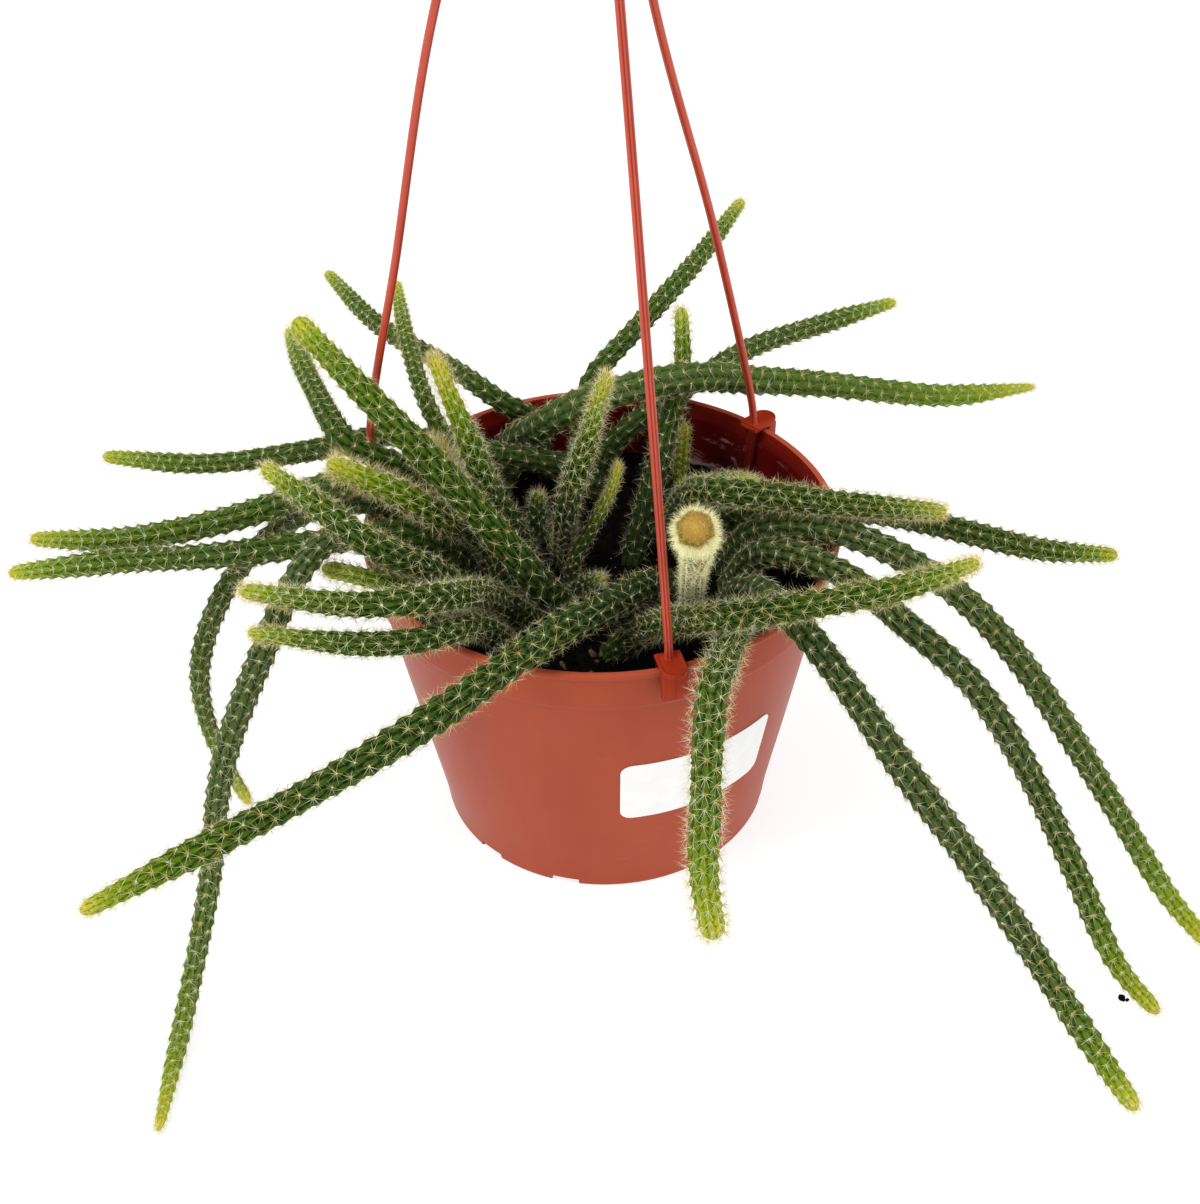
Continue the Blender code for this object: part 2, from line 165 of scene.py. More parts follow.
def skin_material():
    """Waxy ribbed skin. ripe runs from 0 at a growing tip to 1 on the oldest wood, rise from furrow to areole, and
    wool is the felt that covers a crown."""
    p = Paint("cactus_skin", 0.55, 0.035)
    ripe, rise, wool, skin = p.attr("ripe"), p.attr("rise"), p.attr("wool"), p.attr("skin", vector=True)
    painted_root_shade, cool = p.attr("painted_root_shade"), p.attr("cool")
    blotch = p.noise(p.moved(skin, (1, 1, 0.6)), 0.22, 3.0, 0.55)
    shift = p.math("MULTIPLY", p.math("SUBTRACT", blotch, 0.5), 0.30)
    age = p.math("ADD", ripe, shift, clamp=True)
    colour = p.ramp(age, [
        (0.00, (0.545, 0.500, 0.014)),
        (0.10, (0.330, 0.390, 0.006)),
        (0.25, (0.165, 0.262, 0.004)),
        (0.48, (0.074, 0.150, 0.003)),
        (0.74, (0.038, 0.087, 0.006)),
        (1.00, (0.029, 0.064, 0.010)),
    ])
    # Long pale streaks run down each rib, with darker ones between them.
    streak = p.noise(p.moved(skin, (1.0, 1.0, 0.14)), 1.7, 2.0, 0.6)
    old = p.span(ripe, 0.25, 0.9, 0.30, 1.0)
    bloom = p.math("MULTIPLY", p.span(streak, 0.50, 0.68, 0.0, 0.38), old)
    bloom = p.math("ADD", bloom, p.math("MULTIPLY", p.math("MULTIPLY", cool, old), 0.22))
    colour = p.mix(bloom, colour, p.ramp(cool, [(0.0, (0.130, 0.167, 0.042)), (1.0, (0.160, 0.182, 0.092))]))
    dark = p.span(streak, 0.30, 0.46, 0.76, 1.0)
    colour = p.mix(1.0, colour, p.ramp(dark, [(0.0, (0, 0, 0)), (1.0, (1, 1, 1))]), "MULTIPLY")
    # Furrows and the notch beyond each areole are darkened with painted shade, lifted on young growth, and crests take
    # a thin yellow edge.
    low = p.span(rise, 0.05, 0.48, 0.16, 1.0, smooth=True)
    low = p.math("ADD", low, p.span(ripe, 0.15, 0.62, 0.30, 0.0), clamp=True)
    colour = p.mix(1.0, colour, p.ramp(low, [(0.0, (0, 0, 0)), (1.0, (1, 1, 1))]), "MULTIPLY")
    crest = p.span(rise, 0.70, 1.0, 0.0, 0.26)
    colour = p.mix(crest, colour, (0.150, 0.190, 0.030))
    rust = p.span(p.noise(skin, 0.55, 2.0, 0.6), 0.56, 0.70, 0.0, 0.35)
    colour = p.mix(p.math("MULTIPLY", rust, old), colour, (0.085, 0.070, 0.020))
    speck = p.span(p.noise(skin, 2.6, 1.0, 0.5), 0.68, 0.78, 0.0, 0.30)
    colour = p.mix(speck, colour, (0.17, 0.20, 0.06))
    # Old wood deep between the crowded roots is darkened nearly to black: painted shade.
    colour = p.mix(p.math("MULTIPLY", painted_root_shade, 0.62), colour, (0.012, 0.020, 0.008))
    felt = p.noise(skin, 2.2, 2.0, 0.6)
    colour = p.mix(wool, colour, p.ramp(felt, [(0.3, (0.35, 0.21, 0.040)), (0.7, (0.51, 0.34, 0.075))]))
    wrinkle = p.math("ADD", p.math("MULTIPLY", streak, 0.8), p.math("MULTIPLY", p.noise(skin, 1.1, 2.0), 0.4))
    normal = p.bump(wrinkle, 0.00045, 0.8)
    rough = p.span(blotch, 0.3, 0.7, 0.42, 0.58)
    return p.finish(colour, rough, normal)


def pot_material(name, outside):
    """Moulded terracotta plastic with faint flow bands, handling scuffs and, inside, lime left by watering; the inside
    is painted far darker as shade.
    """
    p = Paint(name, 0.42, 0.09 if outside else 0.02)
    place = p.place()
    x, y, z = p.split(place)
    cloud = p.noise(place, 22.0, 3.0, 0.55)
    flow = p.noise(p.moved(place, (1, 1, 0.08)), 120.0, 2.0, 0.5)
    grain = p.noise(place, 900.0, 2.0, 0.6)
    if outside:
        colour = p.ramp(cloud, [(0.30, (0.335, 0.056, 0.023)), (0.70, (0.380, 0.067, 0.029))])
        colour = p.mix(p.span(flow, 0.35, 0.75, 0.0, 0.10), colour, (0.46, 0.115, 0.066))
        # The collar was handled most: short pale scuffs lie round it, and dust gathers under its edge.
        band = p.math("ADD", 0.25, p.span(z, 0.080, 0.098, 0.0, 0.75, smooth=True))
        scuff = p.noise(p.moved(place, (1.0, 1.0, 9.0)), 62.0, 4.0, 0.62, 0.6)
        patch = p.span(p.noise(place, 26.0, 1.0), 0.50, 0.64, 0.0, 1.0, smooth=True)
        marks = p.math("MULTIPLY", p.math("MULTIPLY", p.span(scuff, 0.62, 0.72, 0.0, 0.60), patch), band)
        colour = p.mix(marks, colour, (0.62, 0.27, 0.19))
        dots = p.span(p.cells(place, 260.0), 0.0, 0.085, 0.55, 0.0)
        few = p.math("MULTIPLY", p.span(p.noise(place, 95.0, 0.0), 0.60, 0.70, 0.0, 1.0), band)
        colour = p.mix(p.math("MULTIPLY", dots, few), colour, (0.70, 0.36, 0.27))
        smear = p.span(p.noise(p.moved(place, (1, 1, 0.5)), 18.0, 2.0), 0.54, 0.74, 0.0, 0.30, smooth=True)
        colour = p.mix(smear, colour, (0.215, 0.032, 0.014))
        rough = p.math("ADD", p.span(cloud, 0.3, 0.7, 0.34, 0.44), p.math("MULTIPLY", marks, 0.3))
        height = p.math("ADD", p.math("MULTIPLY", grain, 0.5), p.math("MULTIPLY", flow, 0.35))
        normal = p.bump(height, 0.00012, 0.5)
    else:
        # The inside is the same plastic painted far darker as shade, lifted towards the top of the wall where light
        # reaches over the rim.
        colour = p.ramp(cloud, [(0.30, (0.085, 0.0032, 0.0024)), (0.70, (0.125, 0.0055, 0.0036))])
        top = p.span(z, 0.1085, 0.1105, 0.0, 0.75, smooth=True)
        colour = p.mix(top, colour, (0.230, 0.0150, 0.0075))
        stain = p.noise(p.moved(place, (1.0, 1.0, 2.6)), 74.0, 5.0, 0.68, 0.5)
        near_mix = p.span(z, 0.1085, 0.1040, 0.0, 1.0, smooth=True)
        back = p.span(p.math("ADD", x, p.math("MULTIPLY", y, 0.6)), 0.015, 0.05, 0.30, 1.0)
        lime = p.math("MULTIPLY", p.math("MULTIPLY", p.span(stain, 0.570, 0.67, 0.0, 0.70), near_mix), back)
        dirt = p.span(p.noise(place, 48.0, 4.0, 0.6), 0.44, 0.64, 0.0, 0.85)
        low = p.span(z, 0.106, 0.094, 0.15, 1.0)
        colour = p.mix(p.math("MULTIPLY", dirt, low), colour, (0.012, 0.005, 0.004))
        colour = p.mix(lime, colour, (0.36, 0.25, 0.22))
        rough = p.math("ADD", 0.38, p.math("MULTIPLY", lime, 0.35))
        normal = p.bump(p.math("ADD", p.math("MULTIPLY", grain, 0.4), lime), 0.00015, 0.5)
    return p.finish(colour, rough, normal)


def hanger_material(name, dark, light, specular):
    """Brighter, glossier plastic than the pot, drawn smooth along the strands."""
    p = Paint(name, 0.30, specular)
    place = p.place()
    cloud = p.noise(place, 60.0, 2.0, 0.5)
    drawn = p.noise(p.moved(place, (1, 1, 0.05)), 700.0, 2.0, 0.5)
    colour = p.ramp(cloud, [(0.3, dark), (0.7, light)])
    colour = p.mix(p.span(drawn, 0.55, 0.8, 0.0, 0.18), colour, tuple(min(1.0, c * 1.3 + 0.03) for c in light))
    # The strands' grooves are darkened in colour: painted shade.
    colour = p.mix(p.attr("groove"), colour, (0.215, 0.014, 0.006))
    rough = p.span(cloud, 0.3, 0.7, 0.26, 0.36)
    return p.finish(colour, rough, p.bump(drawn, 0.00006, 0.4))


def mix_material():
    """Damp fine peat with paler fibres and dry crumbs."""
    p = Paint("potting_mix_fines", 0.95, 0.01)
    place = p.place()
    lumps = p.noise(place, 330.0, 5.0, 0.7)
    colour = p.ramp(lumps, [(0.32, (0.0016, 0.0013, 0.0012)), (0.55, (0.0045, 0.0036, 0.0032)),
                            (0.75, (0.0110, 0.0085, 0.0066))])
    fibre = p.noise(p.moved(place, (1.0, 0.18, 1.0)), 800.0, 3.0, 0.6)
    colour = p.mix(p.span(fibre, 0.68, 0.80, 0.0, 0.30), colour, (0.045, 0.030, 0.019))
    return p.finish(colour, 0.95, p.bump(lumps, 0.0012, 0.9))


def bark_material():
    p = Paint("bark_bits", 0.85, 0.03)
    place = p.place()
    grain = p.noise(place, 600.0, 4.0, 0.65)
    colour = p.ramp(grain, [(0.30, (0.030, 0.018, 0.009)), (0.52, (0.085, 0.057, 0.030)), (0.74, (0.22, 0.17, 0.10))])
    return p.finish(colour, 0.85, p.bump(grain, 0.0006, 0.8))


def perlite_material():
    p = Paint("perlite_bits_painted_shade", 0.8, 0.25)
    place = p.place()
    grain = p.noise(place, 900.0, 3.0, 0.6)
    # White perlite is painted grey here: painted shade for grains lying in the pot.
    colour = p.ramp(grain, [(0.3, (0.13, 0.12, 0.10)), (0.7, (0.40, 0.38, 0.33))])
    return p.finish(colour, 0.8, p.bump(grain, 0.0005, 0.7))


def label_material():
    """Matt white film: a slight mottle and a few fibres."""
    p = Paint("label_film", 0.42, 0.5)
    place = p.place()
    mottle = p.noise(place, 160.0, 3.0, 0.5)
    colour = p.ramp(mottle, [(0.3, (0.82, 0.82, 0.81)), (0.7, (0.88, 0.88, 0.87))])
    fine = p.noise(place, 2400.0, 2.0, 0.5)
    colour = p.mix(p.span(fine, 0.60, 0.8, 0.0, 0.10), colour, (0.70, 0.70, 0.69))
    return p.finish(colour, p.span(mottle, 0.3, 0.7, 0.36, 0.48), p.bump(fine, 0.00005, 0.4))


SKIN = skin_material()
AREOLE = plain("areole_wool", (0.500, 0.275, 0.090), 0.8, 0.05)
AREOLE_PALE = plain("areole_wool_pale", (0.640, 0.550, 0.300), 0.8, 0.05)
SPINES = [
    plain("spine_gold", (0.640, 0.520, 0.170), 0.45, 0.15),
    plain("spine_cream", (0.740, 0.710, 0.410), 0.45, 0.15),
    plain("spine_white", (0.780, 0.790, 0.640), 0.45, 0.15),
    plain("spine_grey", (0.225, 0.290, 0.115), 0.5, 0.10),
    plain("spine_tan", (0.460, 0.290, 0.100), 0.45, 0.15),
    plain("spine_straw", (0.950, 0.935, 0.560), 0.45, 0.15),
    plain("spine_felt", (0.470, 0.285, 0.050), 0.6, 0.05),
    # The last, dim spine colour is painted shade for spines deep between the roots.
    plain("spine_painted_shade", (0.120, 0.140, 0.085), 0.6, 0.05),
]


# ====================================================================== meshes
def add_mesh(name, verts, faces, slot, materials, smooth=True):
    """verts is an array of millimetres, faces an array (n, 3 or 4) or a list of tuples."""
    mesh = bpy.data.meshes.new(name)
    verts = np.asarray(verts, float) * MM
    if isinstance(faces, np.ndarray):
        n, k = faces.shape
        mesh.vertices.add(len(verts))
        mesh.vertices.foreach_set("co", verts.astype(np.float32).ravel())
        mesh.loops.add(n * k)
        mesh.loops.foreach_set("vertex_index", faces.astype(np.int32).ravel())
        mesh.polygons.add(n)
        mesh.polygons.foreach_set("loop_start", np.arange(0, n * k, k, dtype=np.int32))
        mesh.update(calc_edges=True)
    else:
        mesh.from_pydata([tuple(v) for v in verts], [], [tuple(int(i) for i in f) for f in faces])
        mesh.update()
    mesh.polygons.foreach_set("use_smooth", np.full(len(mesh.polygons), smooth, dtype=bool))
    for m in materials:
        mesh.materials.append(m)
    obj = bpy.data.objects.new(name, mesh)
    scene.collection.objects.link(obj)
    if slot:
        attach(obj, "root")
    return obj


def face_out(obj):
    """Turns a closed mesh's faces outwards, by the sign of its volume."""
    mesh = obj.data
    mesh.calc_loop_triangles()
    co = np.empty(len(mesh.vertices) * 3, np.float32)
    mesh.vertices.foreach_get("co", co)
    tri = np.empty(len(mesh.loop_triangles) * 3, np.int32)
    mesh.loop_triangles.foreach_get("vertices", tri)
    p = co.reshape(-1, 3).astype(float)[tri.reshape(-1, 3)]
    if float((p[:, 0] * np.cross(p[:, 1], p[:, 2])).sum()) < 0:
        mesh.flip_normals()
    return obj


def write_attribute(mesh, name, values, kind="FLOAT"):
    a = mesh.attributes.new(name, kind, "POINT")
    a.data.foreach_set("value" if kind == "FLOAT" else "vector", np.asarray(values, np.float32).ravel())


def through_points(points, per=24):
    """A centripetal Catmull-Rom curve through the points."""
    p = np.array(points, float)
    p = np.vstack([2 * p[0] - p[1], p, 2 * p[-1] - p[-2]])
    out = []
    for i in range(1, len(p) - 2):
        a, b, c, d = p[i - 1:i + 3]
        t1 = np.linalg.norm(b - a) ** 0.5
        t2 = t1 + np.linalg.norm(c - b) ** 0.5
        t3 = t2 + np.linalg.norm(d - c) ** 0.5
        for t in np.linspace(t1, t2, per, endpoint=False):
            a1 = (t1 - t) / t1 * a + t / t1 * b
            a2 = (t2 - t) / (t2 - t1) * b + (t - t1) / (t2 - t1) * c
            a3 = (t3 - t) / (t3 - t2) * c + (t - t2) / (t3 - t2) * d
            b1 = (t2 - t) / t2 * a1 + t / t2 * a2
            b2 = (t3 - t) / (t3 - t1) * a2 + (t - t1) / (t3 - t1) * a3
            out.append((t2 - t) / (t2 - t1) * b1 + (t - t1) / (t2 - t1) * b2)
    out.append(p[-2])
    return np.array(out)


def spaced(curve, step):
    s = np.r_[0, np.cumsum(np.linalg.norm(np.diff(curve, axis=0), axis=1))]
    at = np.linspace(0, s[-1], max(2, int(round(s[-1] / step)) + 1))
    return np.stack([np.interp(at, s, curve[:, k]) for k in range(3)], 1), s[-1]


def route(points):
    """A stem's centre line at 1 mm steps, eased at its bends, as the frame has it."""
    curve, _ = spaced(through_points(points), 1.0)
    for _ in range(3):
        eased = curve.copy()
        for i in range(1, len(curve) - 1):
            w = min(3, i, len(curve) - 1 - i)
            eased[i] = curve[i - w:i + w + 1].mean(0)
        curve = eased
    curve[0, 2] = 91.5
    return spaced(curve, 1.0)


def carried_frames(points, start=(0.31, 0.95, 0.02)):
    """Tangents and a side direction that doesn't twist along the line."""
    t = np.gradient(points, axis=0)
    t /= np.linalg.norm(t, axis=1)[:, None]
    side = np.cross(t[0], start)
    side /= np.linalg.norm(side)
    sides = [side]
    for i in range(1, len(points)):
        side = sides[-1] - np.dot(sides[-1], t[i]) * t[i]
        sides.append(side / np.linalg.norm(side))
    return t, np.array(sides)


def turned(section, sides):
    """Vertices and faces of a body turned about Z. The section runs from the axis to the axis."""
    a = 2 * np.pi * np.arange(sides) / sides
    section = np.array(section, float)
    ring = section[1:-1]
    verts = np.vstack([[(0, 0, section[0][1])],
                       np.stack([ring[:, :1] * np.sin(a), -ring[:, :1] * np.cos(a),
                                 np.repeat(ring[:, 1:], sides, 1)], 2).reshape(-1, 3),
                       [(0, 0, section[-1][1])]])
    faces, last, n = [], len(verts) - 1, len(ring)
    for k in range(sides):
        m = (k + 1) % sides
        faces.append((0, 1 + m, 1 + k))
        for i in range(n - 1):
            p, q = 1 + i * sides, 1 + (i + 1) * sides
            faces.append((p + k, p + m, q + m, q + k))
        p = 1 + (n - 1) * sides
        faces.append((p + k, p + m, last))
    return verts, faces


# ====================================================================== stems
# Name, radius at the root half, then the route from the root to the tip, as the frame has them.
STEMS = [
    ("stem_l01", 4.2, [(2, 42, 91), (-5, 40, 103), (-14, 31, 114), (-32, 31, 118), (-50, 37, 118),
                       (-70, 38.5, 122), (-93, 35, 119.5), (-134, 41, 110), (-177, 64, 98)]),
    ("stem_l02", 4.7, [(-50, 8, 91), (-58, 3, 117), (-72, -1, 130), (-87, 0.5, 129), (-113.5, -0.5, 119),
                       (-155, 5, 105.5), (-196, 25, 91)]),
    ("stem_l03", 4.6, [(-43, -5, 91), (-48, -13, 110), (-62, -20, 125), (-83, -18, 120.5), (-119, -16.5, 114.5),
                       (-160, -3, 102), (-201, 10, 88)]),
    ("stem_l04", 3.8, [(-19, 58, 91), (-24, 60, 114), (-32, 57, 121), (-49, 74, 124), (-79.5, 113, 119.5),
                       (-105.5, 168, 111.5)]),
    ("stem_l05", 3.3, [(-34, 36, 91), (-43, 20, 120), (-53.5, 25, 135), (-64.5, 65, 138), (-74, 124, 132)]),
    ("stem_l06", 5.1, [(-8, -27, 91), (-14, -29, 101), (-22, -34, 117), (-34, -31, 134), (-58, -14, 155),
                       (-76, 5, 164), (-97.5, 36.5, 168.5)]),
    ("stem_l07", 4.4, [(-46, 21, 91), (-51, 17, 112), (-66, 10, 130), (-79.5, 12.5, 134.5), (-98, 55.5, 131.5),
                       (-112, 105, 124)]),
    ("stem_l08", 4.2, [(-24, 3, 91), (-27, -3, 108), (-36, -3, 129), (-44, 3, 151), (-52.5, 17, 167)]),
    ("stem_l09", 4.8, [(-31, -10, 91), (-37, -12, 116), (-48, -20, 129), (-62, -26, 144), (-84, -20, 152)]),
    ("stem_l10", 4.5, [(-37, -22, 91), (-50, -37, 120), (-68, -50, 142), (-83, -41, 149), (-104, -19, 150)]),
    ("stem_l11", 4.0, [(-48, -26, 91), (-55, -30, 107), (-63, -40, 118.5), (-74, -38, 121), (-87.5, -31.5, 120)]),
    ("stem_l12", 4.5, [(-24, -24, 91), (-36, -39, 113.6), (-48, -65, 134), (-62, -73.5, 139), (-76, -68.5, 135),
                       (-109, -56.5, 131.5)]),
    ("stem_l13", 4.0, [(-27, -40, 91), (-39, -57.5, 116.5), (-54, -75, 126), (-71, -75, 125), (-107, -62.5, 120)]),
    ("stem_l14", 5.1, [(27, -12, 91), (16, -22, 103), (2, -45, 114), (-14, -66, 121), (-30, -87, 124),
                       (-51.5, -106.5, 121.5), (-83, -124, 112.5), (-116.5, -134.5, 99.5), (-149, -141, 84)]),
    ("stem_l15", 4.4, [(-60, -15, 91), (-63, -23, 110), (-70, -33, 128.5), (-81.5, -32, 133),
                       (-92.5, -40.5, 126.5), (-105, -55, 106), (-120, -69, 72), (-127.5, -85, 34),
                       (-134.5, -113, 8), (-137, -156.5, 4)]),
    ("stem_l16", 3.9, [(-62, 15, 91), (-66, 9, 112), (-80, 2, 120), (-93.5, 5.5, 115.5), (-107.5, 6, 107),
                       (-124, -2, 92), (-136, -14, 66), (-135, -18, 35), (-125, -24, 10)]),
    ("stem_l17", 4.2, [(-35, 8, 91), (-38, 5, 110), (-47, 6, 126), (-55, 11, 138)]),
    ("stem_l18", 4.2, [(-22, 19, 91), (-22, 21, 100), (-21, 28, 105)]),
    ("stem_r01", 3.9, [(-9, 56, 91), (-6, 60, 110), (-3, 61.5, 126.5), (14.5, 78, 139), (35, 111, 144),
                       (56.5, 164, 141.5)]),
    ("stem_r02", 4.2, [(1, 60, 91), (4, 60.5, 101), (16, 62, 112), (34, 72, 119), (55, 95.5, 118),
                       (85.5, 119.5, 113.5), (115, 144, 107.5)]),
    ("stem_r03", 5.6, [(-35, 52, 91), (-31, 52, 108), (-22, 40, 122), (-8, 33, 136), (14, 40, 139), (31, 49, 136),
                       (53, 63.5, 125), (79, 66, 121), (121, 68, 114), (159, 88.5, 103.5)]),
    ("stem_r04", 3.9, [(10, 6, 91), (18, 23, 112), (25, 46, 125), (29, 61, 129), (29.5, 71, 137.5), (29.5, 83, 143)]),
    ("stem_r05", 2.8, [(28.5, 52, 91), (29, 52, 104), (30, 51, 116)]),
    ("stem_r06", 3.0, [(35, 34, 91), (34, 30, 101), (37, 26, 108.5), (44, 24, 111.5), (53, 24, 110.5)]),
    ("stem_r07", 4.5, [(23, 18, 91), (29, 1, 122.5), (40, -17, 135.5), (76, -19.5, 132), (111.5, -6, 118)]),
    ("stem_r08", 4.5, [(34, 15, 91), (46, 7, 110), (64, -4, 119), (87, -4, 117), (112, 1, 107), (146, 7, 92),
                       (179, 23, 76)]),
    ("stem_r09", 4.7, [(40, 2, 91), (53, -17, 122), (78.5, -23, 122.2), (107.5, -37, 112.5), (127.5, -45, 94),
                       (146, -52.5, 68.5), (167, -61.5, 35.5), (184, -78, 12), (195, -93, 5)]),
    ("stem_r10", 4.7, [(42, -10, 91), (52, -29, 121), (74, -47, 125), (91.5, -62.5, 117.5), (112, -67.5, 98.5),
                       (132, -73.5, 66.5), (148, -86, 35.5), (161, -107, 12), (172, -120.5, 5)]),
    ("stem_r11", 5.0, [(39, -23, 91), (45, -37, 112), (56.5, -64, 122.5), (71, -82, 112), (88, -94.5, 89.5),
                       (108.5, -104, 61.5), (127.5, -114, 34), (143, -130, 14), (157, -157, 5)]),
    ("stem_r12", 4.4, [(3, -41, 91), (12, -43, 101), (20, -57, 116), (39, -76, 134), (65, -83, 144),
                       (87, -77, 144), (111.5, -58.5, 138)]),
    ("stem_r13", 5.0, [(40, -39, 91), (41, -50, 111), (39.5, -65, 121), (35.5, -78, 119.5), (31, -94, 121),
                       (29, -108, 114), (28, -118, 97), (27.5, -127, 78), (30.5, -134, 59.5)]),
    ("stem_r14", 3.4, [(27, -30, 91), (28, -34, 108), (27, -56, 134), (26, -92, 172), (24, -110, 192)]),
    ("stem_r15", 3.9, [(-13, 8, 91), (-11, -6, 122), (-4, -6, 148), (3, 3, 168)]),
    ("stem_r16", 2.5, [(-10.5, -4, 91), (-8, -5, 104), (-3.2, -4.6, 113), (0.6, -3.9, 121), (4.3, -2.4, 129),
                       (6, 0.4, 136)]),
    ("stem_r17", 3.0, [(-11, -11, 91), (-2, -14, 100), (1, -17, 102)]),
]

# How each stem grows. young: length in mm over which the tip ripens. old: how ripe its root is. hair: 0 is a few short
# flat spines, 1 a dense pale coat. fan: how far the spines turn towards the tip. gold: how yellow they are. gap: mm
# between areoles on one rib. ribs is even, so that neighbouring ribs stagger by half a gap. wool: mm of felted crown.
# slim: girth at the tip half against the root half. blunt: how much of that is left just below the growing point. pale:
# extra share of white spines. turn: how sharply the colour turns behind the young growth. cool: blue-grey bloom.
# soft: how far the painted shade in the furrows is lifted.
USUAL = dict(young=55.0, old=1.0, hair=0.25, fan=0.7, gold=0.45, gap=5.2, ribs=8, wool=0.0, slim=0.86, blunt=0.60,
             pale=0.0, turn=1.05, cool=0.0, soft=0.0)
HABIT = {
    "stem_l01": dict(young=60, old=0.80, hair=0.08, fan=0.9, gold=0.50, cool=0.5, soft=0.08),
    "stem_l02": dict(young=70, old=0.73, hair=0.20, fan=0.8, gold=0.45, cool=0.4, soft=0.06),
    "stem_l03": dict(young=60, old=0.80, hair=0.18, fan=0.8, gold=0.40, cool=0.3, soft=0.07),
    "stem_l04": dict(young=54, old=0.80, hair=0.05, fan=0.9, gold=0.45, cool=0.3, soft=0.05),
    "stem_l05": dict(young=80, old=0.78, hair=0.10, fan=0.8, gold=0.45),
    "stem_l06": dict(young=80, old=0.82, hair=0.26, fan=0.3, gold=0.45, gap=5.6, ribs=10, blunt=0.84),
    "stem_l07": dict(young=75, old=0.84, hair=0.18, fan=0.7, gold=0.45),
    "stem_l08": dict(young=60, old=1.00, hair=0.50, fan=0.1, gold=0.45, gap=4.6, ribs=10, turn=1.6),
    "stem_l09": dict(young=58, old=0.92, hair=0.60, fan=0.1, gold=0.70, gap=4.4, ribs=10, blunt=0.72, turn=1.2),
    "stem_l10": dict(young=50, old=1.00, hair=0.32, fan=0.3, gold=0.50, gap=4.8, ribs=10, turn=1.3),
    "stem_l11": dict(young=50, old=0.80, hair=0.45, fan=0.3, gold=0.50, gap=4.2, blunt=0.78),
    "stem_l12": dict(young=56, old=0.96, hair=0.42, fan=0.3, gold=0.40, gap=4.8, ribs=10),
    "stem_l13": dict(young=56, old=1.00, hair=0.36, fan=0.3, gold=0.40, gap=4.8, ribs=10),
    "stem_l14": dict(young=75, old=0.94, hair=0.30, fan=0.2, gold=0.55, gap=5.7, ribs=10, slim=0.80),
    "stem_l15": dict(young=120, old=0.90, hair=0.14, fan=0.8, gold=0.30, gap=4.8, slim=0.66, blunt=0.50, cool=1.0, soft=0.08),
    "stem_l16": dict(young=60, old=0.82, hair=0.20, fan=0.6, gold=0.30, gap=4.6, slim=0.80, cool=0.9, soft=0.12),
    "stem_l17": dict(young=30, old=0.70, hair=1.00, fan=0.0, gold=0.75, gap=3.8, ribs=10),
    "stem_l18": dict(young=8, old=1.00, hair=0.40, fan=0.0, gold=0.20, gap=4.4, ribs=10),
    "stem_r01": dict(young=52, old=0.76, hair=0.05, fan=0.9, gold=0.45, cool=0.4, soft=0.07),
    "stem_r02": dict(young=50, old=0.80, hair=0.12, fan=0.9, gold=0.45, gap=5.0, cool=0.6, soft=0.10),
    "stem_r03": dict(young=125, old=0.80, hair=0.06, fan=0.7, gold=0.85, gap=5.2, slim=0.60, blunt=0.36, cool=0.95, soft=0.15),
    "stem_r04": dict(young=45, old=0.84, hair=0.50, fan=0.2, gold=0.50, gap=4.6, blunt=0.74),
    "stem_r05": dict(young=90, old=0.90, hair=0.20, fan=0.1, gold=0.30, gap=4.0, ribs=6, blunt=0.72),
    "stem_r06": dict(young=30, old=0.85, hair=0.34, fan=0.1, gold=0.30, gap=4.0),
    "stem_r07": dict(young=62, old=1.00, hair=0.38, fan=0.2, gold=0.60, gap=4.3, ribs=10),
    "stem_r08": dict(young=60, old=1.00, hair=0.26, fan=0.4, gold=0.60, gap=4.9),
    "stem_r09": dict(young=90, old=0.84, hair=0.14, fan=0.8, gold=0.70, cool=0.9, soft=0.06),
    "stem_r10": dict(young=80, old=0.90, hair=0.12, fan=0.8, gold=0.65, cool=0.8),
    "stem_r11": dict(young=70, old=1.00, hair=0.16, fan=0.75, gold=0.45, gap=5.0, cool=0.75, soft=0.04),
    "stem_r12": dict(young=70, old=0.88, hair=0.38, fan=0.1, gold=0.60, gap=4.5, ribs=10),
    "stem_r13": dict(young=85, old=0.78, hair=0.60, fan=0.2, gold=0.50, gap=4.6, ribs=10, slim=1.0, blunt=0.78, cool=0.6, soft=0.04),
    "stem_r14": dict(young=24, old=0.92, hair=1.20, fan=0.1, gold=0.50, gap=3.4, ribs=12, wool=6.0, slim=1.38, blunt=1.0),
    "stem_r15": dict(young=36, old=1.00, hair=0.46, fan=0.1, gold=0.35, gap=4.4, ribs=10, slim=0.80, turn=1.6),
    "stem_r16": dict(young=50, old=0.66, hair=0.18, fan=0.1, gold=0.30, gap=4.2),
    "stem_r17": dict(young=8, old=1.00, hair=0.35, fan=0.1, gold=0.20, gap=4.4),
}
STEPS = 6  # rings to one areole gap
AROUND = {6: 24, 8: 32, 10: 40, 12: 48}


def swell(phase):
    """One tubercle along its rib, from -1 to 1: a slow rise from the root side, and a steep drop past the areole."""
    x = 2 * np.pi * phase + 0.6
    return (np.cos(x) + 0.28 * np.sin(2 * x)) / 1.12


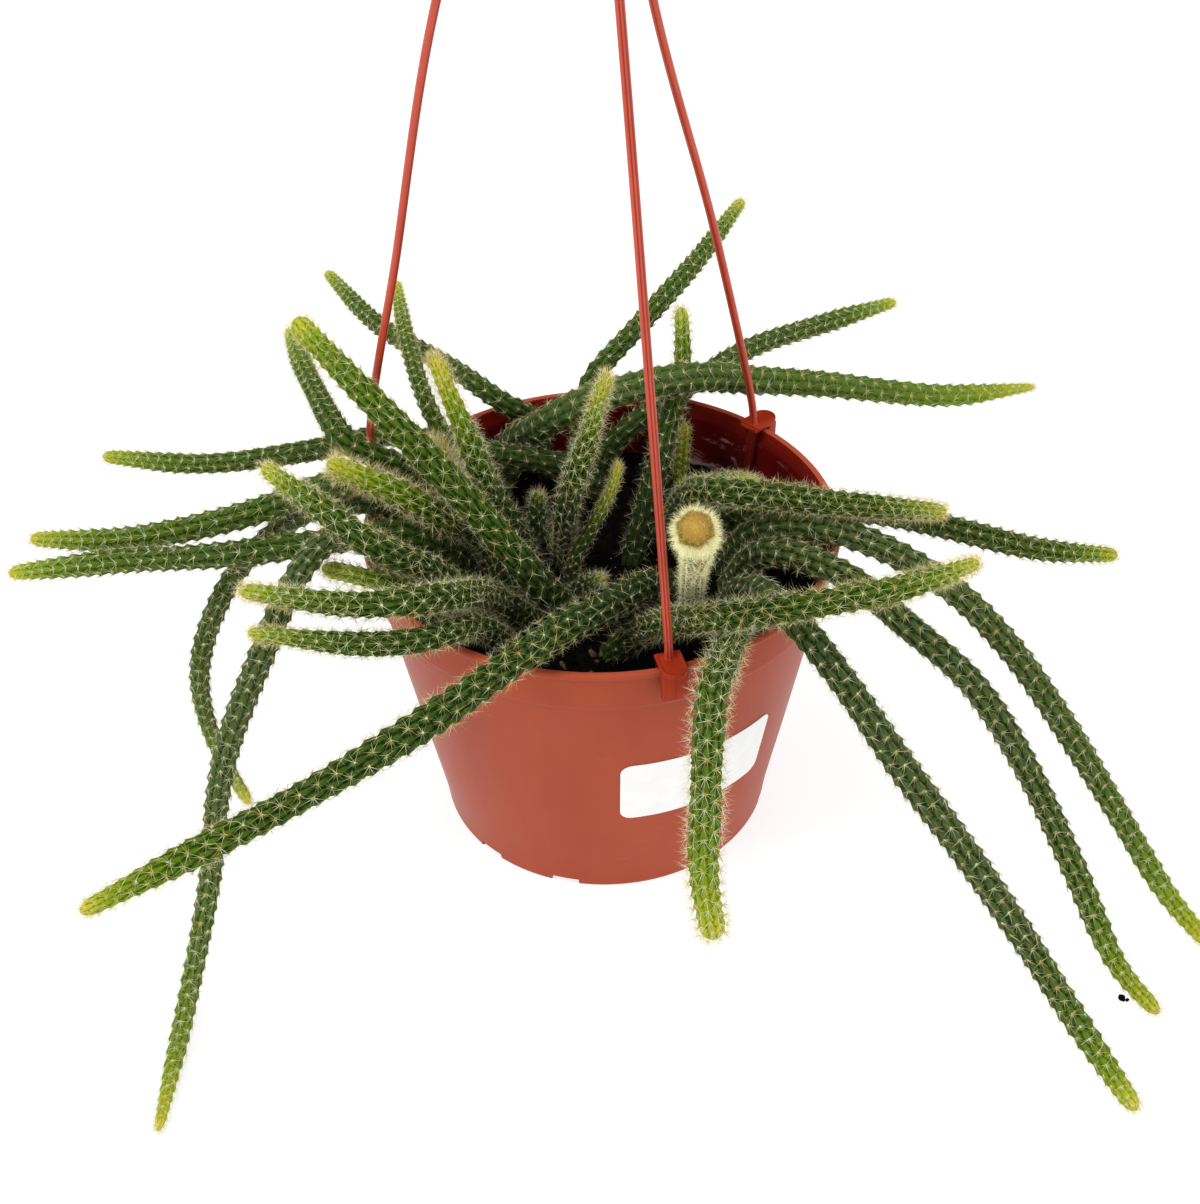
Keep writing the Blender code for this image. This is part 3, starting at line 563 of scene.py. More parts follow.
class Stem:
    def __init__(self, index, name, radius, points):
        self.name, self.radius = name, radius
        self.habit = {**USUAL, **HABIT.get(name, {})}
        self.rng = np.random.default_rng(700 + index)
        line, self.length = route(points)
        # The foot goes a few millimetres into the mix.
        first = line[1] - line[0]
        down = np.array([0, 0, -1.0]) - first / np.linalg.norm(first)
        down /= np.linalg.norm(down)
        foot = [line[0] + down * k for k in (3.0, 2.0, 1.0)]
        self.line = np.vstack([foot, line])
        self.t, self.s = carried_frames(self.line)
        self.along = np.r_[-3.0, -2.0, -1.0, np.linspace(0, self.length, len(line))]
        # Areoles crowd together on the last few millimetres of a growing tip.
        fine = np.linspace(-3.0, self.length, 1200)
        left = self.length - fine
        gap = self.habit["gap"] * (0.42 + 0.58 * np.clip(left / 22.0, 0, 1) ** 0.8)
        phase = np.r_[0, np.cumsum(np.diff(fine) / (0.5 * (gap[1:] + gap[:-1])))]
        self.fine, self.phase, self.gap = fine, phase, gap
        self.twist = self.rng.uniform(-0.0022, 0.0022)
        self.start = self.rng.uniform(0, 2 * np.pi)
        self.waves = [(self.rng.uniform(0.05, 0.11), self.rng.uniform(0, 6.28), 0.018) for _ in range(3)]

    def frame_at(self, d):
        d = np.asarray(d, float)
        get = lambda a: np.stack([np.interp(d, self.along, a[:, k]) for k in range(3)], -1)
        c, t, s = get(self.line), get(self.t), get(self.s)
        t /= np.linalg.norm(t, axis=-1)[..., None]
        s -= (s * t).sum(-1)[..., None] * t
        s /= np.linalg.norm(s, axis=-1)[..., None]
        return c, t, s, np.cross(t, s)

    def envelope(self, d):
        """Radius over the areoles."""
        left = np.clip(self.length - np.asarray(d, float), 0, None)
        slim, blunt = self.habit["slim"], self.habit["blunt"]
        r = self.radius * (slim + (1 - slim) * np.minimum(1, left / (0.5 * self.length)))
        for f, ph, a in self.waves:
            r = r * (1 + a * np.sin(f * np.asarray(d) + ph))
        taper = blunt + (1 - blunt) * np.clip(left / 32.0, 0, 1) ** 0.75
        dome = np.sqrt(np.clip(1 - (1 - np.clip(left / 5.0, 0, 1)) ** 2, 0, 1))
        return r * taper * np.maximum(dome, 0.02)

    def relief(self, theta, phase):
        """0 in a furrow, 1 on an areole."""
        n = self.habit["ribs"]
        even = 0.5 + 0.5 * np.cos(0.5 * n * theta)
        h = 0.42 * np.cos(n * theta) + 0.58 * (even * swell(phase) + (1 - even) * swell(phase + 0.5))
        return np.clip((h + 0.55) / 1.55, 0, 1)

    def depth(self, d):
        """How deep the furrows are."""
        left = np.clip(self.length - np.asarray(d, float), 0, None)
        return self.envelope(d) * 0.250 * (0.25 + 0.75 * np.clip(left / 10.0, 0, 1))

    def ripeness(self, d):
        h = self.habit
        left = np.clip(self.length - np.asarray(d, float), 0, None)
        x = np.clip(left / h["young"], 0, None)
        return h["old"] * (1 - np.exp(-1.9 * x ** h["turn"])) * np.clip(0.94 + 0.06 * x, 0, 1)

    def painted_root_shade(self, at, left):
        """How much painted shade falls: 1 deep between the roots, 0 out in the open or on new growth."""
        inward = np.clip(1.45 - np.hypot(at[..., 0], at[..., 1]) / 60.0, 0, 1) * np.clip((134 - at[..., 2]) / 16.0, 0, 1)
        return inward * np.clip((left - self.habit["young"] * 0.3) / 10.0, 0, 1)

    def surface(self, d, theta, phase, lift=0.0):
        c, t, s, u = self.frame_at(d)
        y = self.relief(theta, phase)
        r = self.envelope(d) - self.depth(d) * (1 - y ** 0.85) + lift
        a = theta + self.start + self.twist * (np.asarray(d) - self.length)
        out = np.cos(a)[..., None] * s + np.sin(a)[..., None] * u
        return c + r[..., None] * out, out, t, y, r

    def skin(self):
        around = AROUND[self.habit["ribs"]]
        total = self.phase[-1]
        steps = int(math.floor((total + 0.03) * STEPS))
        ph = np.maximum(np.arange(0, steps + 1) / STEPS - 0.03, 0)  # a ring lies on every crest
        d = np.interp(ph, self.phase, self.fine)
        # The dome has its own closer rings.
        keep = d < self.length - 3.6
        d = np.r_[d[keep], self.length - np.array([3.4, 2.7, 2.05, 1.45, 0.92, 0.50, 0.20, 0.04])]
        ph = np.interp(d, self.fine, self.phase)
        theta = 2 * np.pi * np.arange(around) / around
        dd, th = np.meshgrid(d, theta, indexing="ij")
        pp = np.repeat(ph[:, None], around, 1)
        pos, out, t, y, r = self.surface(dd, th, pp)
        rings = len(d)
        pos[..., 2] = np.maximum(pos[..., 2], 0.12)
        verts = pos.reshape(-1, 3)
        tip = self.frame_at(np.array([self.length]))[0][0]
        root = self.frame_at(np.array([d[0]]))[0][0]
        verts = np.vstack([verts, tip, root])
        i, k = np.meshgrid(np.arange(rings - 1), np.arange(around), indexing="ij")
        n = (k + 1) % around
        quads = np.stack([i * around + k, i * around + n, (i + 1) * around + n, (i + 1) * around + k], -1)
        quads = quads.reshape(-1, 4)
        tip_i, root_i = rings * around, rings * around + 1
        caps = [(int((rings - 1) * around + k), int((rings - 1) * around + (k + 1) % around), tip_i)
                for k in range(around)]
        caps += [(int((k + 1) % around), k, root_i) for k in range(around)]
        faces = [tuple(q) for q in quads.tolist()] + caps
        obj = add_mesh(self.name + "_skin", verts, faces, "cactus_stem", [SKIN])
        face_out(obj)
        mesh = obj.data
        flat = lambda a, tip_v, root_v: np.r_[a.reshape(-1), tip_v, root_v]
        write_attribute(mesh, "ripe", flat(self.ripeness(dd), 0.0, self.habit["old"]))
        write_attribute(mesh, "rise", flat(1 - (1 - y) * (1 - self.habit["soft"]), 0.6, 0.3))
        write_attribute(mesh, "painted_root_shade", flat(self.painted_root_shade(pos, self.length - dd), 0.0, 1.0))
        felt = np.clip(1.25 - (self.length - dd) / max(1.1, self.habit["wool"]), 0, 1)
        write_attribute(mesh, "wool", flat(felt if self.habit["wool"] else 0.45 * felt, 1.0, 0.0))
        write_attribute(mesh, "cool", np.full(len(verts), self.habit["cool"]))
        seed = self.rng.uniform(0, 300, 3)
        vec = np.stack([r * np.cos(th), r * np.sin(th), dd], -1).reshape(-1, 3)
        vec = np.vstack([vec, [0, 0, self.length], [0, 0, -3]]) + seed
        write_attribute(mesh, "skin", vec, "FLOAT_VECTOR")
        # A map for baking: the skin unrolled and cut into rows of equal length.
        size = 2 * np.pi * self.radius
        rows = max(1, int(round(math.sqrt(self.length / size))))
        per = math.ceil((rings - 1) / rows)
        layer = mesh.uv_layers.new(name="OFBake")
        uv = np.zeros((len(mesh.loops), 2), np.float32)
        pad = 0.06 / rows
        vert_of = np.empty(len(mesh.loops), np.int32)
        mesh.loops.foreach_get("vertex_index", vert_of)
        starts = np.empty(len(mesh.polygons), np.int32)
        mesh.polygons.foreach_get("loop_start", starts)
        nq = len(quads)
        for q0, ks in ((0, 4),):
            idx = starts[:nq, None] + np.arange(ks)
            v = vert_of[idx]
            vi, vk = v // around, v % around
            face_i = np.repeat(np.arange(nq) // around, ks).reshape(nq, ks)
            face_k = np.repeat(np.arange(nq) % around, ks).reshape(nq, ks)
            row = face_i // per
            uu = (vi - row * per) / per * 0.985 + 0.004
            kk = np.where((face_k == around - 1) & (vk == 0), around, vk)
            vv = (row + 0.03 + 0.94 * kk / around) / rows
            vv = np.clip(vv, 0, 1)
            uv[idx.reshape(-1), 0] = uu.reshape(-1)
            uv[idx.reshape(-1), 1] = vv.reshape(-1) * (1 - 0.02) + 0.002
        # Both caps sit in a thin strip at the right edge.
        for f in range(nq, len(mesh.polygons)):
            at_root = f >= nq + around
            j = (f - nq) % around
            base = 0.35 if at_root else 0.65
            for m, lp in enumerate(range(starts[f], starts[f] + 3)):
                uv[lp] = (0.9965 - 0.003 * (m == 2), base + 0.004 * ((j + m) / around))
        layer.data.foreach_set("uv", uv.ravel())
        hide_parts(self.name)
        return obj

    def areoles(self):
        """d, theta, phase of every areole, from the foot to the tip."""
        n = self.habit["ribs"]
        total = self.phase[-1]
        out = []
        for k in range(n):
            m = np.arange(0, math.ceil(total) + 1) + (0.5 if k % 2 else 0.0)
            m = m[(m < total - 0.05)]
            d = np.interp(m, self.phase, self.fine)
            use = (d > 1.0) & (d < self.length - 0.5)
            out.append(np.stack([d[use], np.full(use.sum(), 2 * np.pi * k / n), m[use]], 1))
        return np.vstack(out)

    def site(self, d, theta, phase):
        """Where areoles sit: point, outward normal, and the directions along and across the stem."""
        pos, out, t, _, _ = self.surface(d, theta, phase)
        slope = ((self.envelope(d + 0.3) - self.envelope(d - 0.3)) / 0.6).clip(-3, 3)
        normal = out + (0.22 - slope)[:, None] * t
        normal /= np.linalg.norm(normal, axis=1)[:, None]
        along = t - (t * normal).sum(1)[:, None] * normal
        along /= np.linalg.norm(along, axis=1)[:, None]
        return dict(pos=pos, n=normal, a=along, c=np.cross(normal, along), t=t, left=self.length - d,
                    ripe=self.ripeness(d))

    def grow(self, at, count, lift, spread, length, vary, girth, fan, ahead=0.0, shades=None):
        """count spines on every site, as slim three-sided cones. Returns vertices, faces and material numbers."""
        rng, h = self.rng, self.habit
        sites = len(at["pos"])
        m = sites * count
        which = np.repeat(np.arange(sites), count)
        j = np.tile(np.arange(count), sites)
        al = 2 * np.pi * (j + rng.uniform(-0.34, 0.34, m)) / count + np.repeat(rng.uniform(0, 6.28, sites), count)
        al = (np.mod(al + np.pi, 2 * np.pi) - np.pi) * (1 - 0.45 * fan)
        el = np.radians(np.clip(np.broadcast_to(lift, sites)[which] + rng.normal(0, spread, m), -6, 88))
        ln = np.broadcast_to(length, sites)[which] * (1 + rng.normal(0, vary, m)) * (1 + 0.15 * fan * np.cos(al))
        ln = np.clip(ln, 0.6, 6.5)
        lost = rng.random(m) < 0.05 + 0.10 * (1 - min(1.0, h["hair"])) * (at["left"][which] > 60)
        ln = np.where(lost, ln * 0.4, ln)
        u = (np.cos(el) * np.cos(al))[:, None] * at["a"][which] + (np.cos(el) * np.sin(al))[:, None] * at["c"][which] \
            + np.sin(el)[:, None] * at["n"][which]
        u += np.broadcast_to(ahead, sites)[which][:, None] * at["t"][which]
        u /= np.linalg.norm(u, axis=1)[:, None]
        foot = at["pos"][which] + 0.05 * at["n"][which] + 0.36 * u
        ref = np.where(np.abs(u[:, 2:3]) < 0.8, np.array([[0, 0, 1.0]]), np.array([[1.0, 0, 0]]))
        v1 = np.cross(u, ref)
        v1 /= np.linalg.norm(v1, axis=1)[:, None]
        v2 = np.cross(u, v1)
        rb = girth * (1 + rng.uniform(-0.2, 0.2, m)) * np.clip(0.65 + 0.35 * ln / 3.0, 0.65, 1.15)
        roll = rng.uniform(0, 2.1, m)
        corners = [foot + rb[:, None] * (np.cos(roll + w)[:, None] * v1 + np.sin(roll + w)[:, None] * v2)
                   for w in (0, 2 * np.pi / 3, 4 * np.pi / 3)]
        apex = foot + u * ln[:, None]
        apex[:, 2] = np.maximum(apex[:, 2], 0.10)
        verts = np.stack(corners + [apex], 1)
        verts[..., 2] = np.maximum(verts[..., 2], 0.05)
        faces = np.array([(0, 1, 3), (1, 2, 3), (2, 0, 3)])[None] + (4 * np.arange(m))[:, None, None]
        # Colour: yellow on new growth, paler with age, then grey; deep between the roots a dim colour stands in as
        # painted shade.
        ripe, gold, dense = at["ripe"][which], h["gold"], min(1.0, h["hair"])
        if shades is None:
            inner = self.painted_root_shade(at["pos"], at["left"])[which]
            new = ripe < 0.30
            shades = np.stack([0.10 + 0.55 * gold + (0.1 + 1.6 * gold) * new, np.full(m, 0.50) + 0.1 * new,
                               0.10 + 0.45 * (1 - gold) * dense + h["pale"] + 0.40 * h["cool"] + 0 * ripe,
                               np.clip((ripe - 0.40) * 1.6, 0, 1) * (1.3 - 0.8 * dense) * (1 - 0.45 * h["cool"]),
                               np.full(m, 0.04 + 0.08 * gold), 0 * ripe, 0 * ripe, 2.6 * inner], 1)
        else:
            shades = np.tile(np.r_[np.array(shades, float), 0.0], (m, 1))
        odds = np.cumsum(shades, 1) / shades.sum(1)[:, None]
        mats = 2 + (rng.random(m)[:, None] > odds[:, :-1]).sum(1)
        return verts.reshape(-1, 3), faces.reshape(-1, 3), np.repeat(mats, 3)

    def pads(self, at):
        """A low woolly dome on each areole."""
        rng, n, sides = self.rng, len(at["pos"]), 6
        size = 0.36 * (0.8 + 0.4 * rng.random(n)) * np.clip(at["left"] / 9.0, 0.55, 1)
        size = size * (0.58 + 0.42 * np.clip(at["ripe"] / 0.55, 0, 1))
        a = 2 * np.pi * np.arange(sides) / sides
        spoke = np.cos(a)[None, :, None] * at["a"][:, None] * 1.15 + np.sin(a)[None, :, None] * at["c"][:, None]
        ring = at["pos"][:, None] + size[:, None, None] * spoke - 0.08 * at["n"][:, None]
        top = at["pos"] + (0.62 * size)[:, None] * at["n"]
        block = np.concatenate([ring, top[:, None]], 1)
        block[..., 2] = np.maximum(block[..., 2], 0.05)
        k = np.arange(sides)
        tri = np.stack([k, (k + 1) % sides, np.full(sides, sides)], 1)
        faces = tri[None] + (np.arange(n) * (sides + 1))[:, None, None]
        pale = rng.random(n) < np.clip(1.05 - 1.3 * self.habit["gold"] + 0.5 * (at["ripe"] < 0.2), 0.08, 0.95)
        return block.reshape(-1, 3), faces.reshape(-1, 3), np.repeat(np.where(pale, 1, 0), len(tri))

    def spines(self):
        h, rng = self.habit, self.rng
        d, theta, ph = self.areoles().T
        at = self.site(d, theta + rng.normal(0, 0.02, len(d)), ph)
        fresh = np.clip(1 - at["left"] / 22.0, 0, 1)
        dense, more, fan = min(1.0, h["hair"]), max(0.0, h["hair"] - 1.0), h["fan"]
        small = np.clip(0.72 + self.radius / 16, 0.78, 1.02)
        girth = 0.052 + 0.010 * dense
        near = small * (1 - (0.36 - 0.50 * dense) * fresh)
        parts = [self.pads(at)]
        # Radial spines lie near the skin, the central ones stand up.
        if not h["wool"]:
            parts.append(self.grow(at, 8 + int(round(2.0 * dense)), 5 + 42 * dense + 16 * fresh, 8 + 4 * dense,
                                   near * (2.7 + 1.7 * dense), 0.17, girth, fan, 0.30 * fresh))
            uprights = int(round(0.40 + 3.2 * dense))
            if uprights:
                parts.append(self.grow(at, uprights, 46 + 18 * dense + 6 * fresh, 13.0, near * (2.1 + 2.2 * dense), 0.20,
                                       girth, 0.5 * fan, 0.35 * fresh))
        # New spines crowd round the growing point and reach past it.
        tuft = 26 + int(16 * dense)
        left = rng.uniform(0.15, 4.2, tuft)
        tip = self.site(self.length - left, rng.uniform(0, 6.28, tuft), np.zeros(tuft))
        crowned = (0.30, 0.10, 0.0, 0.0, 0.20, 0.0, 1.5)
        parts.append(self.grow(tip, 1, 50.0, 14.0, small * (2.3 + 1.6 * dense), 0.2, 0.062, 0.0, 0.9,
                               crowned if h["wool"] else (0.30 + 0.3 * h["gold"], 0.9, 0.35, 0.0, 0.08, 0.2, 0.0)))
        if h["wool"]:
            # An old crown: brown felt in the middle, a pale brush round it, then looser pairs down to the green.
            straw, low = (0.06, 0.35, 0.05, 0.0, 0.0, 1.2, 0.0), (0.22, 0.66, 0.12, 0.18, 0.04, 0.60, 0.0)
            for near_crown, shade in ((True, straw), (False, low)):
                some = (at["left"] > 3.3) & (at["left"] < 17) if near_crown else at["left"] >= 17
                part = {k: v[some] for k, v in at.items()}
                parts.append(self.grow(part, 8 if near_crown else 7, 30.0 if near_crown else 20.0, 9.0,
                                       3.6 if near_crown else 2.8, 0.16, 0.066, 0.3, 0.1, shade))
            left = 5.6 * rng.random(2400) ** 0.75 + 0.03
            tip = self.site(self.length - left, rng.uniform(0, 6.28, 2400), np.zeros(2400))
            parts.append(self.grow(tip, 1, 78.0, 6.0, 0.9, 0.15, 0.060, 0.0, 0.3, (0.28, 0.08, 0.0, 0.0, 0.15, 0.16, 1.6)))
            left = 4.3 + 11.9 * rng.random(1900) ** 1.4
            tip = self.site(self.length - left, rng.uniform(0, 6.28, 1900), np.zeros(1900))
            parts.append(self.grow(tip, 1, 56.0, 12.0, 3.3, 0.15, 0.062, 0.0, 0.05, straw))
        verts, faces, mats, offset = [], [], [], 0
        for v, f, m in parts:
            verts.append(v)
            faces.append(f + offset)
            mats.append(m)
            offset += len(v)
        obj = add_mesh(self.name + "_spines", np.vstack(verts), np.vstack(faces), "cactus_stem",
                       [AREOLE, AREOLE_PALE] + SPINES, smooth=False)
        obj.data.polygons.foreach_set("material_index", np.concatenate(mats).astype(np.int32))
        return obj


for stem_index, (stem_name, stem_radius, stem_points) in enumerate(STEMS):
    stem = Stem(stem_index, stem_name, stem_radius, stem_points)
    stem.skin()
    stem.spines()


# ====================================================================== pot
POT_OUT = [(55.7, 0.0), (56.25, 0.12), (56.65, 0.42), (56.9, 0.95), (57.02, 1.6), (57.15, 3.0), (57.4, 5.0), (58.1, 10.0),
           (59.2, 16.0), (60.3, 22.0), (63.0, 36.0), (65.4, 49.0), (67.6, 61.0), (70.0, 74.0), (72.3, 86.0),
           (74.15, 95.8), (74.35, 96.8), (74.55, 97.15), (75.35, 97.55), (75.6, 97.95), (75.68, 98.6), (76.1, 103.0),
           (76.62, 109.0), (76.72, 110.3), (76.80, 110.62), (77.40, 110.80), (77.80, 111.00), (78.0, 111.4),
           (78.0, 112.1), (77.86, 112.6), (77.45, 112.92), (76.8, 113.0)]
POT_IN = [(76.15, 112.95), (75.72, 112.7), (75.55, 112.2), (75.5, 111.0), (75.35, 109.5), (75.1, 109.1), (74.6, 108.75),
          (73.95, 108.4), (73.7, 107.9), (73.55, 106.5), (73.0, 102.0), (72.4, 97.0), (70.4, 86.0), (65.7, 61.2),
          (58.4, 22.4), (56.2, 10.6), (54.2, 5.0), (49.0, 2.2)]


def pot():
    section = [(0, 0.0)] + POT_OUT + POT_IN + [(0, 2.2)]
    verts, faces = turned(section, 144)
    obj = add_mesh("pot_shell", verts, faces, "terracotta_plastic",
                   [pot_material("terracotta_outside", True), pot_material("terracotta_inside_painted_shade", False)])
    face_out(obj)

    def cut(name, v, f):
        c = add_mesh(name, v, f, None, [])
        face_out(c)
        mod = obj.modifiers.new(name, "BOOLEAN")
        mod.operation, mod.solver, mod.object = "DIFFERENCE", "EXACT", c
        return c

    gone = []
    for az in (-45.0, -15.0, 75.0, 105.0, 195.0, 225.0):
        a = math.radians(az)
        turn = lambda x, y, z: (x * math.sin(a) + y * math.cos(a), -x * math.cos(a) + y * math.sin(a), z)
        lo, hi, rise = (40, -4.8, -2.0), (64, 4.8, 0.3), 3.3
        v = [turn(lo[0], lo[1], lo[2]), turn(hi[0], lo[1], lo[2]), turn(hi[0], hi[1], lo[2]), turn(lo[0], hi[1], lo[2]),
             turn(lo[0], lo[1], hi[2]), turn(hi[0], lo[1], hi[2] + rise), turn(hi[0], hi[1], hi[2] + rise),
             turn(lo[0], hi[1], hi[2])]
        f = [(0, 3, 2, 1), (4, 5, 6, 7), (0, 1, 5, 4), (1, 2, 6, 5), (2, 3, 7, 6), (3, 0, 4, 7)]
        gone.append(cut("cut_channel", v, f))
        ring = [turn(42 + 3 * math.cos(w), 3 * math.sin(w), 0) for w in np.linspace(0, 2 * np.pi, 24, endpoint=False)]
        v = [(p[0], p[1], -3.0) for p in ring] + [(p[0], p[1], 3.2) for p in ring]
        f = [tuple(range(23, -1, -1)), tuple(range(24, 48))]
        f += [(k, (k + 1) % 24, 24 + (k + 1) % 24, 24 + k) for k in range(24)]
        gone.append(cut("cut_drain", v, f))
    bpy.context.view_layer.update()
    done = bpy.data.meshes.new_from_object(obj.evaluated_get(bpy.context.evaluated_depsgraph_get()))
    obj.modifiers.clear()
    obj.data = done
    for c in gone:
        bpy.data.objects.remove(c, do_unlink=True)
    # The inside takes the darker painted-shade finish from the lip's inner edge down.
    mesh = obj.data
    for poly in mesh.polygons:
        c, nrm = poly.center, poly.normal
        r = math.hypot(c.x, c.y)
        inward = (c.x * nrm.x + c.y * nrm.y) < 0 and c.z > 0.0025
        poly.material_index = 1 if (inward and r < 0.0759) or (c.z > 0.0018 and c.z < 0.006 and nrm.z > 0.5) else 0
    mesh.set_sharp_from_angle(angle=math.radians(38))
    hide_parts("pot")
    return obj


pot()


# ====================================================================== label
def wall_radius(z):
    return np.interp(z, [p[1] for p in POT_OUT], [p[0] for p in POT_OUT])


def label(lo_az=3.7, hi_az=51.0, lo_z=39.0, hi_z=67.0, corner=4.0, lift=0.10, thick=0.24):
    """A sticker with rounded corners, wrapped on the tapered wall."""
    mid = 0.5 * (wall_radius(lo_z) + wall_radius(hi_z))
    width = math.radians(hi_az - lo_az) * mid
    edge = corner * (1 - np.cos(np.linspace(0, np.pi / 2, 9)))
    across = np.r_[edge, np.linspace(corner, width - corner, 42)[1:-1], width - edge[::-1]]
    rows = np.linspace(0, 1, 13)
    n, m = len(across), len(rows)
    shell = []
    for off in (lift, lift + thick):
        for x in across:
            dist = min(x, width - x)
            pull = corner - math.sqrt(max(0.0, corner ** 2 - (corner - dist) ** 2)) if dist < corner else 0.0
            az = math.radians(lo_az) + x / mid
            for w in rows:
                z = lo_z + pull + (hi_z - lo_z - 2 * pull) * w
                # The film's last millimetre rolls down to the wall.
                rim = min(dist, (hi_z - lo_z - 2 * pull) * min(w, 1 - w) + 0.4)
                r = wall_radius(z) + (off if off == lift else lift + thick * (0.55 + 0.45 * min(1.0, rim / 0.8)))
                shell.append((r * math.sin(az), -r * math.cos(az), z))
    faces = []
    at = lambda layer, i, j: layer * n * m + i * m + j
    for layer in (0, 1):
        for i in range(n - 1):
            for j in range(m - 1):
                q = (at(layer, i, j), at(layer, i + 1, j), at(layer, i + 1, j + 1), at(layer, i, j + 1))
                faces.append(q if layer else q[::-1])
    border = [(i, 0) for i in range(n)] + [(n - 1, j) for j in range(1, m)] + [(i, m - 1) for i in range(n - 2, -1, -1)] \
        + [(0, j) for j in range(m - 2, 0, -1)]
    for p, q in zip(border, border[1:] + border[:1]):
        faces.append((at(0, *p), at(0, *q), at(1, *q), at(1, *p)))
    obj = add_mesh("label_sticker", shell, faces, "label_film", [label_material()])
    face_out(obj)
    obj.data.set_sharp_from_angle(angle=math.radians(50))
    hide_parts("label")


label()


# ====================================================================== potting mix
def mix_height(x, y):
    """Surface of the mix: low mounds and finer lumps."""
    p = Vector((x * 0.03, y * 0.03, 3.7))
    big = noise.noise(p) * 1.1
    mid = noise.fractal(Vector((x * 0.16, y * 0.16, 9.1)), 1.0, 2.0, 3) * 0.9
    fine = noise.fractal(Vector((x * 0.75, y * 0.75, 1.3)), 1.0, 2.0, 3) * 0.42
    return 91.0 + big + mid + fine


def potting_mix():
    rings, sides = 70, 180
    r = np.linspace(0, 71.3, rings + 1)[1:]
    verts = [(0, 0, mix_height(0, 0))]
    for i, ri in enumerate(r):
        for k in range(sides):
            a = 2 * math.pi * k / sides
            x, y = ri * math.sin(a), -ri * math.cos(a)
            verts.append((x, y, mix_height(x, y)))
    for rad, z in ((69.9, 84.0), (56.0, 12.0), (53.0, 5.0)):
        verts += [(rad * math.sin(2 * math.pi * k / sides), -rad * math.cos(2 * math.pi * k / sides), z)
                  for k in range(sides)]
    verts.append((0, 0, 2.8))
    faces = [(0, 1 + (k + 1) % sides, 1 + k) for k in range(sides)]
    for i in range(rings + 2):
        a, b = 1 + i * sides, 1 + (i + 1) * sides
        faces += [(a + k, a + (k + 1) % sides, b + (k + 1) % sides, b + k) for k in range(sides)]
    a = 1 + (rings + 2) * sides
    faces += [(a + k, a + (k + 1) % sides, len(verts) - 1) for k in range(sides)]
    obj = add_mesh("potting_mix_body", np.array(verts), faces, "potting_mix", [mix_material()])
    face_out(obj)
    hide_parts("potting_mix")


potting_mix()


def lump(rng, centre, size, stretch, level=1):
    """A small irregular body: a subdivided icosahedron pulled about by noise."""
    g = (1 + 5 ** 0.5) / 2
    v = np.array([(-1, g, 0), (1, g, 0), (-1, -g, 0), (1, -g, 0), (0, -1, g), (0, 1, g), (0, -1, -g), (0, 1, -g),
                  (g, 0, -1), (g, 0, 1), (-g, 0, -1), (-g, 0, 1)], float)
    v /= np.linalg.norm(v, axis=1)[:, None]
    f = [(0, 11, 5), (0, 5, 1), (0, 1, 7), (0, 7, 10), (0, 10, 11), (1, 5, 9), (5, 11, 4), (11, 10, 2), (10, 7, 6),
         (7, 1, 8), (3, 9, 4), (3, 4, 2), (3, 2, 6), (3, 6, 8), (3, 8, 9), (4, 9, 5), (2, 4, 11), (6, 2, 10),
         (8, 6, 7), (9, 8, 1)]
    v = [tuple(p) for p in v]
    for _ in range(level):
        seen, nf = {}, []

        def middle(a, b):
            key = (min(a, b), max(a, b))
            if key not in seen:
                m = np.array(v[a]) + np.array(v[b])
                seen[key] = len(v)
                v.append(tuple(m / np.linalg.norm(m)))
            return seen[key]

        for a, b, c in f:
            ab, bc, ca = middle(a, b), middle(b, c), middle(c, a)
            nf += [(a, ab, ca), (b, bc, ab), (c, ca, bc), (ab, bc, ca)]
        f = nf
    p = np.array(v)
    off = rng.uniform(0, 90, 3)
    bumps = np.array([noise.noise(Vector(tuple(q * 1.7 + off))) + 0.5 * noise.noise(Vector(tuple(q * 4.1 + off)))
                      for q in p])
    p = p * (1 + 0.42 * bumps)[:, None] * np.array(stretch) * size
    ax = rng.normal(size=3)
    rot = np.array(Matrix.Rotation(rng.uniform(0, 6.28), 3, Vector(tuple(ax / np.linalg.norm(ax)))))
    return p @ rot.T + np.array(centre), np.array(f)


def gather(name, lumps, slot, material, smooth=False):
    verts, faces, n = [], [], 0
    for v, f in lumps:
        verts.append(v)
        faces.append(f + n)
        n += len(v)
    return add_mesh(name, np.vstack(verts), np.vstack(faces), slot, [material], smooth=smooth)


